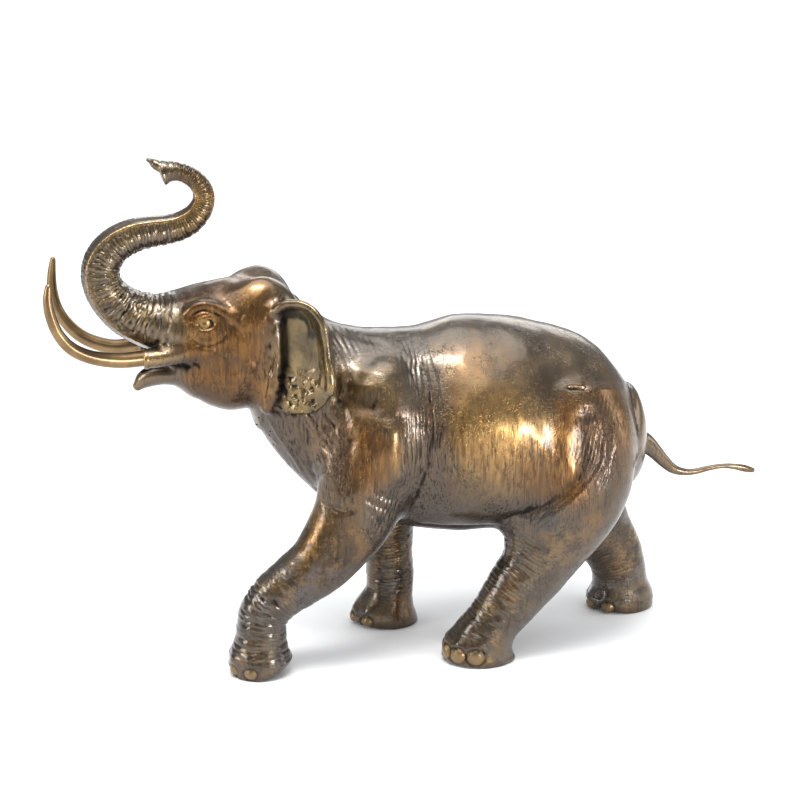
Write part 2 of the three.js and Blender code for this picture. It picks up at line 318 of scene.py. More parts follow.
# %% Bent forms
class BentForm:
    """Oval sections square to a bent path. Field: with u across, v deep and t past the end, the
    oval number q is the length of (u/width, v/depth, t/end), and the value is r (1 - 1/q)."""

    STEP = 3.5     # millimetres between the path's places

    def __init__(self, stations, end=0.3):
        fine = smooth_rows(stations, 9 * len(stations))
        steps = np.linalg.norm(np.diff(fine[:, :3], axis=0), axis=1)
        run = np.concatenate([[0], np.cumsum(steps)])
        self.length = run[-1]
        self.count = max(24, int(self.length / self.STEP))
        even = np.linspace(0, run[-1], self.count)
        table = np.stack([np.interp(even, run, fine[:, k]) for k in range(5)], 1)
        self.centre, self.wide, self.deep = table[:, :3], table[:, 3], table[:, 4]
        self.along = np.gradient(self.centre, axis=0)
        self.along /= np.linalg.norm(self.along, axis=1, keepdims=True)
        side = np.array([0, 1.0, 0]) - self.along * self.along[:, 1:2]
        self.side = side / np.linalg.norm(side, axis=1, keepdims=True)
        self.step = self.length / (self.count - 1)
        self.end = end
        reach = max(self.wide.max(), self.deep.max())
        self.low, self.high = self.centre.min(0) - reach, self.centre.max(0) + reach

    def local(self, p):
        """Place along the path (0 to 1), across, deep and past it, and the section's half sizes."""
        c = self.centre
        square = (c * c).sum(1)[None] - 2 * p @ c.T
        i = square.argmin(1)
        s = i + np.clip(((p - c[i]) * self.along[i]).sum(1) / self.step, -0.5, 0.5)
        s = np.clip(s, 0, self.count - 1)
        j = np.minimum(s.astype(int), self.count - 2)
        f = (s - j)[:, None]
        along = self.along[j] * (1 - f) + self.along[j + 1] * f
        along /= np.linalg.norm(along, axis=1, keepdims=True)
        side = self.side[j] * (1 - f) + self.side[j + 1] * f
        deep = np.cross(along, side)
        r = p - (c[j] * (1 - f) + c[j + 1] * f)
        f = f[:, 0]
        wide = self.wide[j] * (1 - f) + self.wide[j + 1] * f
        tall = self.deep[j] * (1 - f) + self.deep[j + 1] * f
        return (s / (self.count - 1), (r * side).sum(1), (r * deep).sum(1), (r * along).sum(1),
                wide, tall)

    def __call__(self, p, margin=32.0):
        out = np.full(len(p), FAR)
        k = near(p, self.low, self.high, margin)
        if k.any():
            _, u, v, t, wide, tall = self.local(p[k])
            small = np.minimum(wide, tall)
            q = np.sqrt((u / wide)**2 + (v / tall)**2 + (t / (self.end * small))**2)
            r = np.sqrt(u * u + v * v + t * t)
            out[k] = oval_field(r, q, small)
        return out


straight_roll = BentForm([(0, 0, 0, 10, 10), (50, 0, 0, 10, 10), (100, 0, 0, 10, 10)])
print("5 mm outside a straight roll the field is", straight_roll(np.array([[50.0, 15.0, 0]])).round(2)[0])


# %% [markdown]
# The body and the head are wide, and are easier to give as upright slices: where the underside and
# the top are in the side view, and how wide the slice is. `belly` makes the lower half wider than
# the upper, as it is on a real animal.

# %% Upright forms
class UprightForm:
    """Upright oval sections by x, from rows (x, underside, top, half width). The field is r (1 -
    1/q) as for a bent form, and the width is multiplied by 1 - belly * height / half height."""

    def __init__(self, rows, front, back, belly=0.0):
        fine = smooth_rows(sorted(rows), 30 * len(rows))
        self.x = np.linspace(fine[0, 0], fine[-1, 0], 240)
        low, high, self.wide = (np.interp(self.x, fine[:, 0], fine[:, k]) for k in (1, 2, 3))
        self.centre, self.tall = (low + high) / 2, (high - low) / 2
        self.front, self.back, self.belly = front, back, belly
        self.low = np.array([self.x[0] - 50, -self.wide.max(), low.min()])
        self.high = np.array([self.x[-1] + 50, self.wide.max(), high.max()])

    def __call__(self, p, margin=32.0):
        out = np.full(len(p), FAR)
        k = near(p, self.low, self.high, margin)
        q = p[k]
        x = np.clip(q[:, 0], self.x[0], self.x[-1])
        centre, tall, wide = (np.interp(x, self.x, a) for a in (self.centre, self.tall, self.wide))
        t, v = q[:, 0] - x, q[:, 2] - centre
        end = np.where(t < 0, self.front, self.back) * np.minimum(wide, tall)
        wide = wide * (1 - self.belly * np.clip(v / tall, -1.3, 1.3))
        oval = np.sqrt((q[:, 1] / wide)**2 + (v / tall)**2 + (t / end)**2)
        r = np.sqrt(q[:, 1]**2 + v * v + t * t)
        out[k] = oval_field(r, oval, np.minimum(wide, tall))
        return out


drum = UprightForm([(0, 0, 20, 10), (50, 0, 20, 10), (100, 0, 20, 10)], front=1, back=1)
print("3 mm outside a round slice the field is", drum(np.array([[50.0, 13.0, 10.0]])).round(2)[0])


# %% [markdown]
# Smaller lumps are oval balls, and the rims of lids, brows and ears are beads: thin rolls of clay
# laid along a path. `soft_min` presses any two of them together.

# %% Balls, beads and fillets
class Ball:
    """An oval lump, tilted in the side view or turned about the upright, in degrees. The field is
    q (q - 1) / g, with q the oval number and g the length of the place over the radii squared."""

    def __init__(self, x, y, z, rx, ry, rz, tilt=0, turn=0):
        self.centre, self.radius = np.array([x, y, z], float), np.array([rx, ry, rz], float)
        a, b = math.radians(tilt), math.radians(turn)
        tilted = np.array([[math.cos(a), 0, math.sin(a)], [0, 1, 0], [-math.sin(a), 0, math.cos(a)]])
        turned = np.array([[math.cos(b), -math.sin(b), 0], [math.sin(b), math.cos(b), 0], [0, 0, 1]])
        self.turn = turned @ tilted

    def __call__(self, p, margin=25.0):
        out = np.full(len(p), FAR)
        reach = self.radius.max()
        k = near(p, self.centre - reach, self.centre + reach, margin)
        local = (p[k] - self.centre) @ self.turn
        q = np.sqrt(((local / self.radius)**2).sum(1))
        slope = np.sqrt(((local / self.radius**2)**2).sum(1))
        out[k] = q * (q - 1) / np.maximum(slope, 1e-9)
        return out


class Bead:
    """A thin roll of clay laid along a path: distance from the path less its radius."""

    def __init__(self, path, radius, closed=False):
        self.points = smooth_rows(path, 12 * len(path), closed)
        self.radius = radius
        self.low, self.high = self.points.min(0), self.points.max(0)

    def __call__(self, p, margin=14.0):
        out = np.full(len(p), FAR)
        k = near(p, self.low, self.high, margin + self.radius)
        c = self.points
        square = (p[k]**2).sum(1)[:, None] + (c * c).sum(1)[None] - 2 * p[k] @ c.T
        out[k] = np.sqrt(np.maximum(square.min(1), 0)) - self.radius
        return out


def soft_min(a, b, fillet):
    """The smaller of two fields, with a fillet of about the given size where they meet."""
    h = np.maximum(fillet - np.abs(a - b), 0) / fillet
    return np.minimum(a, b) - h * h * fillet * 0.25


def soft_max(a, b, fillet):
    """The larger of two fields, with a fillet; soft_max(a, -b) cuts b out of a."""
    return -soft_min(-a, -b, fillet)


print("where two skins cross, a fillet of 8 mm adds", float(-soft_min(0.0, 0.0, 8)), "mm")


# %% [markdown]
# ## Sizes of the casting
# These are the same tables as the solids', in millimetres. The body and the head are slices, as
# (x, underside, top, half width). The other rows are stations on a path, as (x, y, z) and the half
# sizes of the oval across and deep.

# %% Body and head
BODY = [
    (250, 168, 284, 44), (237, 153, 303, 59), (215, 142, 328, 70), (185, 139, 346, 80),
    (150, 134, 356, 85), (110, 131, 365, 90), (60, 130, 367, 92), (12, 137, 357, 86),
    (-32, 148, 358, 76), (-72, 162, 367, 64), (-95, 183, 382, 57), (-115, 204, 390, 52),
    (-135, 228, 394, 48), (-152, 254, 391, 44)]
HEAD = [
    (-122, 334, 401, 36), (-140, 306, 413, 46), (-165, 296, 419, 50), (-190, 300, 419, 48),
    (-215, 312, 413, 42), (-240, 330, 404, 36)]
JAW = [(-150, 0, 322, 38, 40), (-182, 0, 318, 44, 40), (-210, 0, 325, 40, 34)]
LOWER_LIP = [
    (-205, 0, 318, 30, 22), (-230, 0, 321, 24, 16.5), (-251, 0, 321, 18, 13),
    (-264, 0, 318.5, 13.5, 12), (-273, 0, 313.5, 9.5, 9.5), (-280, 0, 307, 5, 5)]
print("body", len(BODY), "slices, head", len(HEAD))

# %% [markdown]
# The trunk rises from the face, turns back over the forehead and curls at its tip, where a small
# finger stands above the nostrils. The tail leaves the rump, drops, and runs out level to a tuft.

# %% Trunk and tail
TRUNK = [
    (-178, 0, 358, 30, 26), (-208, 0, 367, 41, 38), (-238, 0, 371, 37, 32.5), (-264, 0, 377, 31.5, 29.5),
    (-286, 0, 386.5, 27, 26.5), (-302, 0, 400, 23.5, 23.5), (-312, 0, 415.5, 21.5, 21.5),
    (-314.5, 0, 432, 20.5, 21), (-309, 0, 447.5, 20, 20.5), (-296.5, 0, 460, 19, 19.5),
    (-280.5, 0, 468, 18, 18.5), (-262, 0, 471.5, 17, 17.2), (-243, 0, 473.5, 15.8, 16),
    (-227, 0, 478, 14.8, 15.2), (-213.5, 0, 487, 13.5, 14), (-206, 0, 501, 12, 12.5),
    (-207.5, 0, 514.5, 11, 11.5), (-216, 0, 525, 10, 10.5), (-228, 0, 531.5, 9.5, 10),
    (-240, 0, 532.3, 9.4, 10.6), (-248, 0, 530.3, 10.4, 13.2)]
TRUNK_FINGER = [(-234, 0, 534, 8, 9), (-245, 0, 536.5, 8, 8.5), (-254, 0, 541, 5.5, 5.5),
                (-262, 0, 546, 2.4, 2)]
TAIL = [
    (255, 2, 222, 12, 16), (275, 4, 212, 8, 11), (287, 5, 201, 6.5, 8.5), (297, 5, 190, 5, 7),
    (308, 5, 180, 4.2, 5.6), (320, 5, 175.5, 3.8, 4.2), (334, 5, 175, 3.3, 3.4),
    (350, 5, 178, 3, 3), (366, 5, 179.5, 2.7, 2.7), (380, 5, 178, 2.6, 3.4),
    (392, 5, 175, 2.6, 4), (402, 5, 172, 1.8, 2.6)]
print("trunk", len(TRUNK), "stations, tail", len(TAIL))

# %% [markdown]
# The stride leads with the left fore leg, whose heel is raised, and the left hind leg is brought up
# under the belly. The right legs are behind it, and the right hind leg is the one stretched back.

# %% Legs and feet
FORE_LEFT = [
    (-26, -38, 300, 30, 38), (-36, -50, 252, 35, 46), (-48, -58, 208, 34, 49),
    (-64, -60, 166, 31.5, 43.5), (-94, -60, 124, 28.5, 35.5), (-121, -58, 103, 26.5, 31.5),
    (-147, -57, 82, 26, 28.5), (-159, -56, 62, 25.5, 27), (-161, -56, 42, 26.5, 27.5),
    (-162.5, -56, 26, 29.5, 31.5), (-162, -56, 12, 31.5, 34), (-160, -56, 6, 31.5, 34)]
FORE_RIGHT = [
    (-26, 36, 300, 30, 40), (-20, 50, 252, 34, 50), (-10, 58, 205, 34, 46), (-4, 63, 150, 31, 36),
    (-1, 66, 100, 27.5, 28.5), (1.5, 68, 60, 25.5, 26.5), (1, 68, 38, 26, 26),
    (-3, 68, 18, 31, 34), (-5, 68, 4, 33, 39)]
HIND_LEFT = [
    (188, -36, 285, 34, 38), (186, -50, 240, 40, 57), (177, -58, 190, 41, 63),
    (160, -61, 150, 38, 56), (149, -61, 128, 36, 48), (134, -62, 99, 32, 39),
    (119, -63, 80, 29.5, 35.5), (104, -63, 60, 28, 32.5), (90, -63, 42, 28, 30),
    (80, -63, 26, 30, 34), (75, -63, 12, 32, 39), (74, -63, 4, 33, 40)]
HIND_RIGHT = [
    (188, 36, 285, 34, 38), (198, 50, 240, 40, 55), (207, 56, 188, 38, 53), (221, 60, 140, 33, 44),
    (241, 62, 98, 29, 37), (259, 64, 68, 28, 33), (266, 64, 48, 27.5, 31), (268, 64, 30, 28.5, 32),
    (269, 64, 14, 31, 38.5), (267, 64, 4, 32, 38.5)]
FEET = {   # centre of the sole, its radii, height and relative size of the nails, their bearings from ahead
    "fore_left": ((-163, -56), (33, 31), 8.5, 0.72, (-62, -22, 20, 64)),
    "fore_right": ((-5, 68), (38, 33), 8, 0.72, (-80, -40, 4, 48)),
    "hind_left": ((74, -63), (39, 33), 13, 0.98, (-64, -28, 8, 41, 75)),
    "hind_right": ((267, 64), (37.5, 32), 7, 0.8, (-80, -38, 10, 56))}
NAIL, NAIL_INSET = (4.4, 8.6, 7.8), 2.6    # half thickness, width and height, and how far they sink in
print("legs 4, nails", sum(len(foot[-1]) for foot in FEET.values()))

# %% [markdown]
# A sheath of skin grips each tusk where it leaves the mouth. The two tusks rise by slightly
# different curves, so each has its own table. The ear's rim is an outline in the side view, (x, z).

# %% Sheaths, tusks and ears
SHEATH = [(-205, -33, 356, 12, 12), (-232, -33, 350, 11, 11), (-258, -33, 346, 10, 10),
          (-275, -33, 344.5, 9.8, 9.8)]
EAR_RIM = [
    (-143, 394), (-134, 404), (-122, 407), (-109, 404.5), (-99, 396), (-93, 383), (-90, 365),
    (-88, 346), (-86, 325), (-88, 306), (-98, 292), (-115, 285), (-133, 286), (-147, 298),
    (-150, 330), (-148, 365)]
TUSK_LEFT = [
    (-262, -33, 346, 7.8, 7.8), (-277, -34, 346, 8.2, 8.2), (-301, -41, 347, 8, 8),
    (-328, -49, 353.5, 7.3, 7.3), (-349, -54, 365, 6.8, 6.8), (-362.5, -56, 382, 6, 6),
    (-369.5, -57, 402, 5.7, 5.7), (-371.5, -57, 418, 4.8, 4.8), (-370.5, -56.5, 429, 3.6, 3.6)]
TUSK_RIGHT = [
    (-262, 33, 345, 7.8, 7.8), (-280, 34.5, 342.5, 8.2, 8.2), (-303, 41, 341, 8, 8),
    (-327, 48, 348, 7.3, 7.3), (-344, 53, 361, 6.8, 6.8), (-356, 56, 379, 6, 6),
    (-361, 57.5, 399, 5.7, 5.7), (-361, 57.5, 418, 4.7, 4.7), (-359.5, 56.5, 432, 3.3, 3.3)]


def other_side(rows):
    """The same stations on the right, where y is positive."""
    return [(row[0], -row[1], *row[2:]) for row in rows]


print("tusks", len(TUSK_LEFT), "and", len(TUSK_RIGHT), "stations, ear rim", len(EAR_RIM), "points")

# %% [markdown]
# ## Ears
# Each ear is a thin shell with a thick rolled rim. It is a bent sheet inside a closed outline: the
# sheet gives how far the ear stands out at each place of the side view, and the outline's distance
# trims it. The outline's distance comes from its straight edges: the nearest of them gives the
# size, and an odd number of crossings to one side says that the place is inside.

# %% Distance from an outline
def outline_distance(q, outline):
    """Distance in the side view from a closed outline, negative inside it."""
    a = outline
    edge = np.roll(a, -1, 0) - a
    rel = q[:, None] - a[None]
    t = np.clip((rel * edge).sum(2) / (edge * edge).sum(1), 0, 1)
    gap = np.sqrt(((rel - t[..., None] * edge)**2).sum(2)).min(1)
    b = a + edge
    crosses = (a[:, 1] > q[:, 1:2]) != (b[:, 1] > q[:, 1:2])
    rise = np.where(edge[:, 1] == 0, 1e-9, edge[:, 1])
    where = a[:, 0] + (q[:, 1:2] - a[:, 1]) * edge[:, 0] / rise
    inside = (crosses & (q[:, :1] < where)).sum(1) % 2 == 1
    return np.where(inside, -gap, gap)


square = np.array([(0, 0), (10, 0), (10, 10), (0, 10)], float)
print("inside and outside a square:", outline_distance(np.array([(5.0, 5.0), (15.0, 5.0)]), square))


# %% [markdown]
# The shell of the ear stands out from the head at its root, opens towards its free edge and turns
# up there in a lip. A roll of clay along the free edge makes the rim. The right ear hangs lower and
# closer to the neck than the left one.

# %% Ear form
class Ear:
    """side is -1 for the left ear; drop lowers it; spread flattens or opens it."""

    def __init__(self, side, drop=0.0, spread=1.0):
        self.side, self.drop, self.spread = side, drop, spread
        self.outline = smooth_rows(EAR_RIM, 64, closed=True)
        inner = self.outline * 0.93 + np.array([-117, 352]) * 0.07
        self.free = inner[1:36]
        out = self.sheet(self.free[:, 0], self.free[:, 1]) + 2.0
        self.rim = Bead(np.stack([self.free[:, 0], out, self.free[:, 1]], 1), 3.4)

    def sheet(self, x, z):
        """How far out the shell is: 41 at the root, plus spread times the sum of 30 u to the power
        0.9, a flare low down, a cup of half a sine, a wave, and a lip of 7.5 exp(-the squared
        distance from the free edge / 60). u goes from 0 at the root to 1 at the free edge."""
        u = np.clip((x + 141) / 54, 0, 1.15)
        up = (z - 350) / 60
        cup = -5.0 * np.sin(np.pi * np.clip(u, 0, 1)) * (0.8 + 0.2 * up)
        wave = 1.2 * np.sin(z / 10.5 + 2 * u) * u
        gap2 = ((x[:, None] - self.free[:, 0])**2 + (z[:, None] - self.free[:, 1])**2).min(1)
        lip = 7.5 * np.exp(-gap2 / 60.0)
        return 41 + self.spread * (30 * u**0.9 + 5 * u * u * np.minimum(up, 0)**2 + cup + wave + lip)

    def own(self, p):
        """Points as this ear's shell sees them: side for side, and raised by its drop."""
        return p * np.array([1, self.side, 1]) + np.array([0, 0, self.drop])

    def __call__(self, p, margin=12.0):
        out = np.full(len(p), FAR)
        q = self.own(p)
        k = near(q, np.array([-155, 30, 282]), np.array([-78, 96, 418]), margin)
        q = q[k]
        f = self.sheet(q[:, 0], q[:, 2])
        fx = (self.sheet(q[:, 0] + 1, q[:, 2]) - f)
        fz = (self.sheet(q[:, 0], q[:, 2] + 1) - f)
        plate = np.abs(q[:, 1] - f) / np.sqrt(1 + fx * fx + fz * fz) - 2.9
        trimmed = soft_max(plate, outline_distance(q[:, [0, 2]], self.outline), 3.0)
        out[k] = soft_min(trimmed, self.rim(q), 4.0)
        return out


left_ear, right_ear = Ear(-1), Ear(1, drop=19, spread=0.72)
print("ear in the side view:", np.ptp(left_ear.outline, axis=0).round(0), "mm long and high")


# %% [markdown]
# ## The lumps
# Here the tables become forms. The large ones keep their names, because the carving later asks
# where it is along the trunk or a leg.

# %% Large forms
forms = {
    "body": UprightForm(BODY, front=0.3, back=0.5, belly=0.06),
    "head": UprightForm(HEAD, front=0.4, back=0.4),
    "jaw": BentForm(JAW, end=0.9), "lip": BentForm(LOWER_LIP, end=0.8),
    "trunk": BentForm(TRUNK, end=0.15), "finger": BentForm(TRUNK_FINGER, end=0.8),
    "tail": BentForm(TAIL, end=0.8),
    "sheath_left": BentForm(SHEATH, end=0.2), "sheath_right": BentForm(other_side(SHEATH), end=0.2),
    "fore_left": BentForm(FORE_LEFT), "fore_right": BentForm(FORE_RIGHT),
    "hind_left": BentForm(HIND_LEFT), "hind_right": BentForm(HIND_RIGHT)}
print("forms:", ", ".join(forms))

# %% [markdown]
# The small lumps come in pairs, one on each side: the domes of the skull, the shoulder blades, the
# swelling round each eye, the brow, the lids and the bags below them, and the eyeball in its socket.

# %% Small forms
def both(x, y, z, *rest):
    """A ball on the left and the same one on the right."""
    return [Ball(x, -y, z, *rest), Ball(x, y, z, *rest)]


domes = both(-150, 24, 383, 38, 24, 42)
shoulders = both(-28, 50, 262, 40, 32, 72)
orbits = both(-203, 20, 377, 29, 19, 22)
brows = [Bead([(x, s * y, z) for x, y, z in (
    (-229, 32, 388), (-226, 34, 394), (-221, 35.5, 398 + lift), (-212, 36.5, 400.2 + lift),
    (-200, 37, 397 + lift), (-191, 38.5, 392.5), (-184, 40.5, 388))], r)
    for s, r, lift in ((-1, 4.7, 0), (1, 3.8, -3))]
eyelids = [Bead([(x, s * y, z) for x, y, z in path], r) for s in (-1, 1) for path, r in (
    (((-225, 36.5, 380), (-220, 40.0, 385), (-213, 41.6, 388), (-206, 41.8, 388.2),
      (-200, 41.2, 386.8), (-194, 39.5, 385)), 2.0),
    (((-225, 36.5, 380), (-219, 40.6, 376.2), (-212, 41.9, 374.8), (-205, 41.9, 376.6),
      (-199, 41, 380.5), (-194, 39.5, 385)), 1.7),
    (((-226, 36.5, 374), (-219, 40.4, 369.6), (-211, 41.8, 368.2), (-203, 41.8, 370.4),
      (-197, 41, 375)), 1.3),
    (((-227, 36.2, 370), (-219, 40.2, 365), (-210.5, 42, 363.2), (-202, 42.2, 365.5)), 1.3),
    (((-227, 37, 385.5), (-219, 39.6, 391), (-211, 40.4, 392.6), (-203, 40.6, 391.4),
      (-195, 40, 388)), 1.2))]
sockets = both(-211.5, 44, 381.4, 8.8, 4.2, 5.6)
eyeballs = both(-211.2, 36.2, 381.2, 8.6, 7.0, 7.2)
cheek_rolls = [Bead([(x, s * y, z) for x, y, z in (
    (-143, 42, 396), (-140, 47, 380), (-139, 50, 360), (-139, 50.5, 340), (-142, 50, 320),
    (-145, 48, 300), (-149, 44, 288))], 4.0) for s in (-1, 1)]
barrels = both(88, 50, 234, 82, 46, 80)
nostril = Ball(-256, 0, 529, 9.5, 6.6, 6.6)
scoop = Ball(-262, 0, 329, 22, 8, 8, tilt=-8)


def toenail_balls():
    """Flat oval shields standing a little proud of the foot, each facing along its bearing."""
    made = []
    for (cx, cy), (rx, ry), z, size, bearings in FEET.values():
        for bearing in bearings:
            a = math.radians(bearing)
            made.append(Ball(cx - (rx - NAIL_INSET) * math.cos(a), cy - (ry - NAIL_INSET) * math.sin(a), z,
                             NAIL[0], NAIL[1] * size, NAIL[2] * size, turn=bearing))
    return made


toenails = toenail_balls()
print(len(toenails), "toenails,", len(eyelids), "rolls round the eyes")

# %% [markdown]
# ## The whole figure
# The lumps are joined in the order in which they would be pressed together, with wide fillets
# where a leg or the neck leaves the body and tight ones round the lips, the eyes and the nails.
# The head is made first, and its sockets, mouth and nostrils are cut out of it.

# %% The figure's field
def head_field(p):
    """The head, jaw, trunk and sheaths: one soft minimum after another, and cuts as soft maxima."""
    head = soft_min(forms["head"](p), forms["jaw"](p), 14)
    head = soft_min(head, soft_min(domes[0](p), domes[1](p), 4), 14)
    head = soft_min(head, soft_min(orbits[0](p), orbits[1](p), 4), 10)
    head = soft_min(head, forms["trunk"](p), 16)
    head = soft_min(head, forms["lip"](p), 8)
    for roll in cheek_rolls:
        head = soft_min(head, roll(p), 8)
    head = soft_min(head, soft_min(forms["sheath_left"](p), forms["sheath_right"](p), 2), 8)
    for hollow in sockets:
        head = soft_max(head, -hollow(p), 3)
    for lumps, fillet in ((eyeballs, 0.8), (brows, 7), (eyelids, 2.5)):
        for lump in lumps:
            head = soft_min(head, lump(p), fillet)
    head = soft_max(soft_min(head, forms["finger"](p), 3), -nostril(p), 1.5)
    return soft_max(head, -scoop(p), 2.5)


def elephant_field(p):
    """The casting: below 0 inside the metal. Its soles are cut flat at height 0."""
    f = forms["body"](p)
    for lump in shoulders:
        f = soft_min(f, lump(p), 14)
    for barrel in barrels:
        f = soft_min(f, barrel(p), 18)
    for leg, fillet in (("hind_left", 26), ("hind_right", 30), ("fore_left", 18), ("fore_right", 18)):
        f = soft_min(f, forms[leg](p), fillet)
    f = soft_min(f, head_field(p), 14)
    f = soft_min(f, forms["tail"](p), 6)
    f = soft_min(f, soft_min(left_ear(p), right_ear(p), 1), 5)
    for nail in toenails:
        f = soft_min(f, nail(p), 1.0)
    return soft_max(f, -p[:, 2], 2.0)


print("field in the middle of the belly:", elephant_field(np.array([[88.0, 0, 240]])).round(1)[0], "mm")


# %% [markdown]
# ## Skin of the figure
# The skin is where the field is zero. Surface nets find it: space is cut into small cubes, each
# cube that the skin passes through gets one vertex at the middle of its crossings, and a face joins
# the four cubes round each crossed edge. Large cubes are tried first and only those near the
# skin are cut up, which keeps it quick. The faces always close, and always point outwards.

# %% Surface nets
BATCH = 150000      # points worked out at a time, to keep memory small


def in_batches(field, p):
    return np.concatenate([field(part) for part in np.array_split(p, len(p) // BATCH + 1)])


def skin_of(field, low, high, grain, coarse=4):
    """Vertices and four-sided faces of the zero surface of a field, about one grain apart."""
    low = np.asarray(low, float)
    big = grain * coarse
    counts = np.ceil((np.asarray(high, float) - low) / big).astype(int)
    axes = [low[k] + big * (np.arange(counts[k]) + 0.5) for k in range(3)]
    grid = np.stack(np.meshgrid(*axes, indexing="ij"), -1).reshape(-1, 3)
    rough = in_batches(field, grid)
    base = np.stack(np.unravel_index(np.nonzero(np.abs(rough) < big * 1.2)[0], counts), 1) * coarse
    n = counts * coarse + 1
    strides = np.array([n[1] * n[2], n[2], 1])

    def block(size):
        steps = np.stack(np.meshgrid(*[np.arange(size)] * 3, indexing="ij"), -1).reshape(-1, 3)
        return (base[:, None] + steps[None]).reshape(-1, 3)

    nodes = np.unique(block(coarse + 1) @ strides)
    places = low + grain * np.stack(np.unravel_index(nodes, n), 1)
    value = np.full(np.prod(n), np.nan, np.float32)
    value[nodes] = in_batches(field, places)
    cell = block(coarse)
    at = cell @ strides
    corners = np.array([[i, j, k] for i in (0, 1) for j in (0, 1) for k in (0, 1)])
    inside = value[at[:, None] + (corners @ strides)[None]] < 0
    crossed = inside.any(1) & ~inside.all(1)
    cell, at, inside = cell[crossed], at[crossed], inside[crossed]
    level = value[at[:, None] + (corners @ strides)[None]]
    total, number = np.zeros((len(cell), 3)), np.zeros(len(cell))
    for a in range(8):
        for b in range(a + 1, 8):
            if np.abs(corners[a] - corners[b]).sum() != 1:
                continue
            cut = inside[:, a] != inside[:, b]
            t = np.where(cut, level[:, a] / np.where(cut, level[:, a] - level[:, b], 1), 0)
            total += np.where(cut[:, None], corners[a] + t[:, None] * (corners[b] - corners[a]), 0)
            number += cut
    verts = low + grain * (cell + total / number[:, None])
    index = np.full(np.prod(n), -1, np.int32)
    index[at] = np.arange(len(at))
    faces = []
    for axis in range(3):
        u, w = strides[(axis + 1) % 3], strides[(axis + 2) % 3]
        here, there = value[at] < 0, value[at + strides[axis]] < 0
        cut = here != there
        around = at[cut]
        quad = np.stack([index[around], index[around - u], index[around - u - w], index[around - w]], 1)
        quad[~here[cut]] = quad[~here[cut]][:, ::-1]
        faces.append(quad)
    return verts, np.vstack(faces)


# %% [markdown]
# The net's points are near the skin but not on it. One Newton step along the field's slope settles
# them there, and the slope also says which way is out.

# %% Settling on the skin
def outward(field, p, e=0.4):
    """Slope of the field from four nearby values, at the corners of a small tetrahedron."""
    corners = np.array([[1, -1, -1], [-1, -1, 1], [-1, 1, -1], [1, 1, 1]], float)
    return sum(field(p + e * c)[:, None] * c for c in corners) / (4 * e)


def settle(field, p):
    """Moves points one Newton step onto the skin, and gives the unit outward direction."""
    slope = outward(field, p)
    size = np.maximum((slope * slope).sum(1), 0.05)
    p = p - np.clip(field(p) / size, -2, 2)[:, None] * slope
    slope = outward(field, p)
    return p, slope / np.maximum(np.linalg.norm(slope, axis=1, keepdims=True), 1e-9)


GRAIN = 1.4         # millimetres between the skin's points
verts, faces = skin_of(elephant_field, (-392, -112, -6), (416, 112, 556), GRAIN)
verts, outer = settle(elephant_field, verts)
print(f"skin: {len(verts)} points, {len(faces)} faces, {time.time() - started:.0f} s")

# %% [markdown]
# ## Carving
# Wrinkles and folds are pushed in and out along the skin's own direction, as a modelling tool
# would press them. Smooth noise gives them an uneven, hand-made run. Every fold is a function of
# place, so both sides of the animal get them.

# %% Noise
dice = np.random.default_rng(11)
ORDER = np.tile(dice.permutation(256), 3)
LEAN = dice.normal(size=(256, 3))
LEAN /= np.linalg.norm(LEAN, axis=1, keepdims=True)


def lumpy(p, size):
    """Gradient noise, about -1 to 1: each corner of a lattice leans its own way, blended smoothly."""
    q = p / np.asarray(size, float)
    i = np.floor(q).astype(int)
    f = q - i
    fade = f**3 * (f * (6 * f - 15) + 10)
    total = np.zeros(len(p))
    for corner in np.ndindex(2, 2, 2):
        c = np.array(corner)
        h = ORDER[(i[:, 0] + c[0]) & 255]
        h = ORDER[(h + i[:, 1] + c[1]) & 255]
        h = ORDER[(h + i[:, 2] + c[2]) & 255]
        weight = np.where(c == 1, fade, 1 - fade).prod(1)
        total += weight * (LEAN[h] * (f - c)).sum(1)
    return total * 1.6


walk = lumpy(np.linspace(0, 1, 500)[:, None] * np.array([300, 200, 100]), 9)
print(f"noise along a walk of 500 steps: {walk.min():.2f} to {walk.max():.2f}")


# %% [markdown]
# Three shapes are used over and over: a smooth step that fades a detail in or out, a stroke drawn
# along a curve, and a row of narrow furrows.

# %% Steps, strokes and furrows
def step(x, low, high):
    """Smooth rise from 0 at low to 1 at high."""
    t = np.clip((x - low) / (high - low), 0, 1)
    return t * t * (3 - 2 * t)


def stroke(side_view, path, width):
    """1 along a curve drawn on the side view, exp(-(distance / width) squared) beside it, and
    fading at both ends."""
    points = smooth_rows(path, 10 * len(path))
    low, high = points.min(0) - 3 * width, points.max(0) + 3 * width
    out = np.zeros(len(side_view))
    k = np.all((side_view > low) & (side_view < high), axis=1)
    gap = ((side_view[k][:, None] - points[None])**2).sum(2)
    best = gap.argmin(1) / (len(points) - 1)
    taper = np.minimum(1, 5 * np.minimum(best, 1 - best) + 0.15)
    out[k] = np.exp(-gap.min(1) / width**2) * taper
    return out


def furrows(turns, sharp=4):
    """Narrow valleys once a turn: (0.5 + 0.5 cos(2 pi turns)) to the power sharp, which is 0 on
    the ridges and 1 at the bottom."""
    return (0.5 + 0.5 * np.cos(2 * np.pi * turns))**sharp


print("furrows over one turn:", furrows(np.linspace(0, 1, 9)).round(2))


# %% [markdown]
# ## Trunk
# The trunk is ringed on its back and sides, closer together towards the tip, and has a raised edge
# each side of the flat underside.

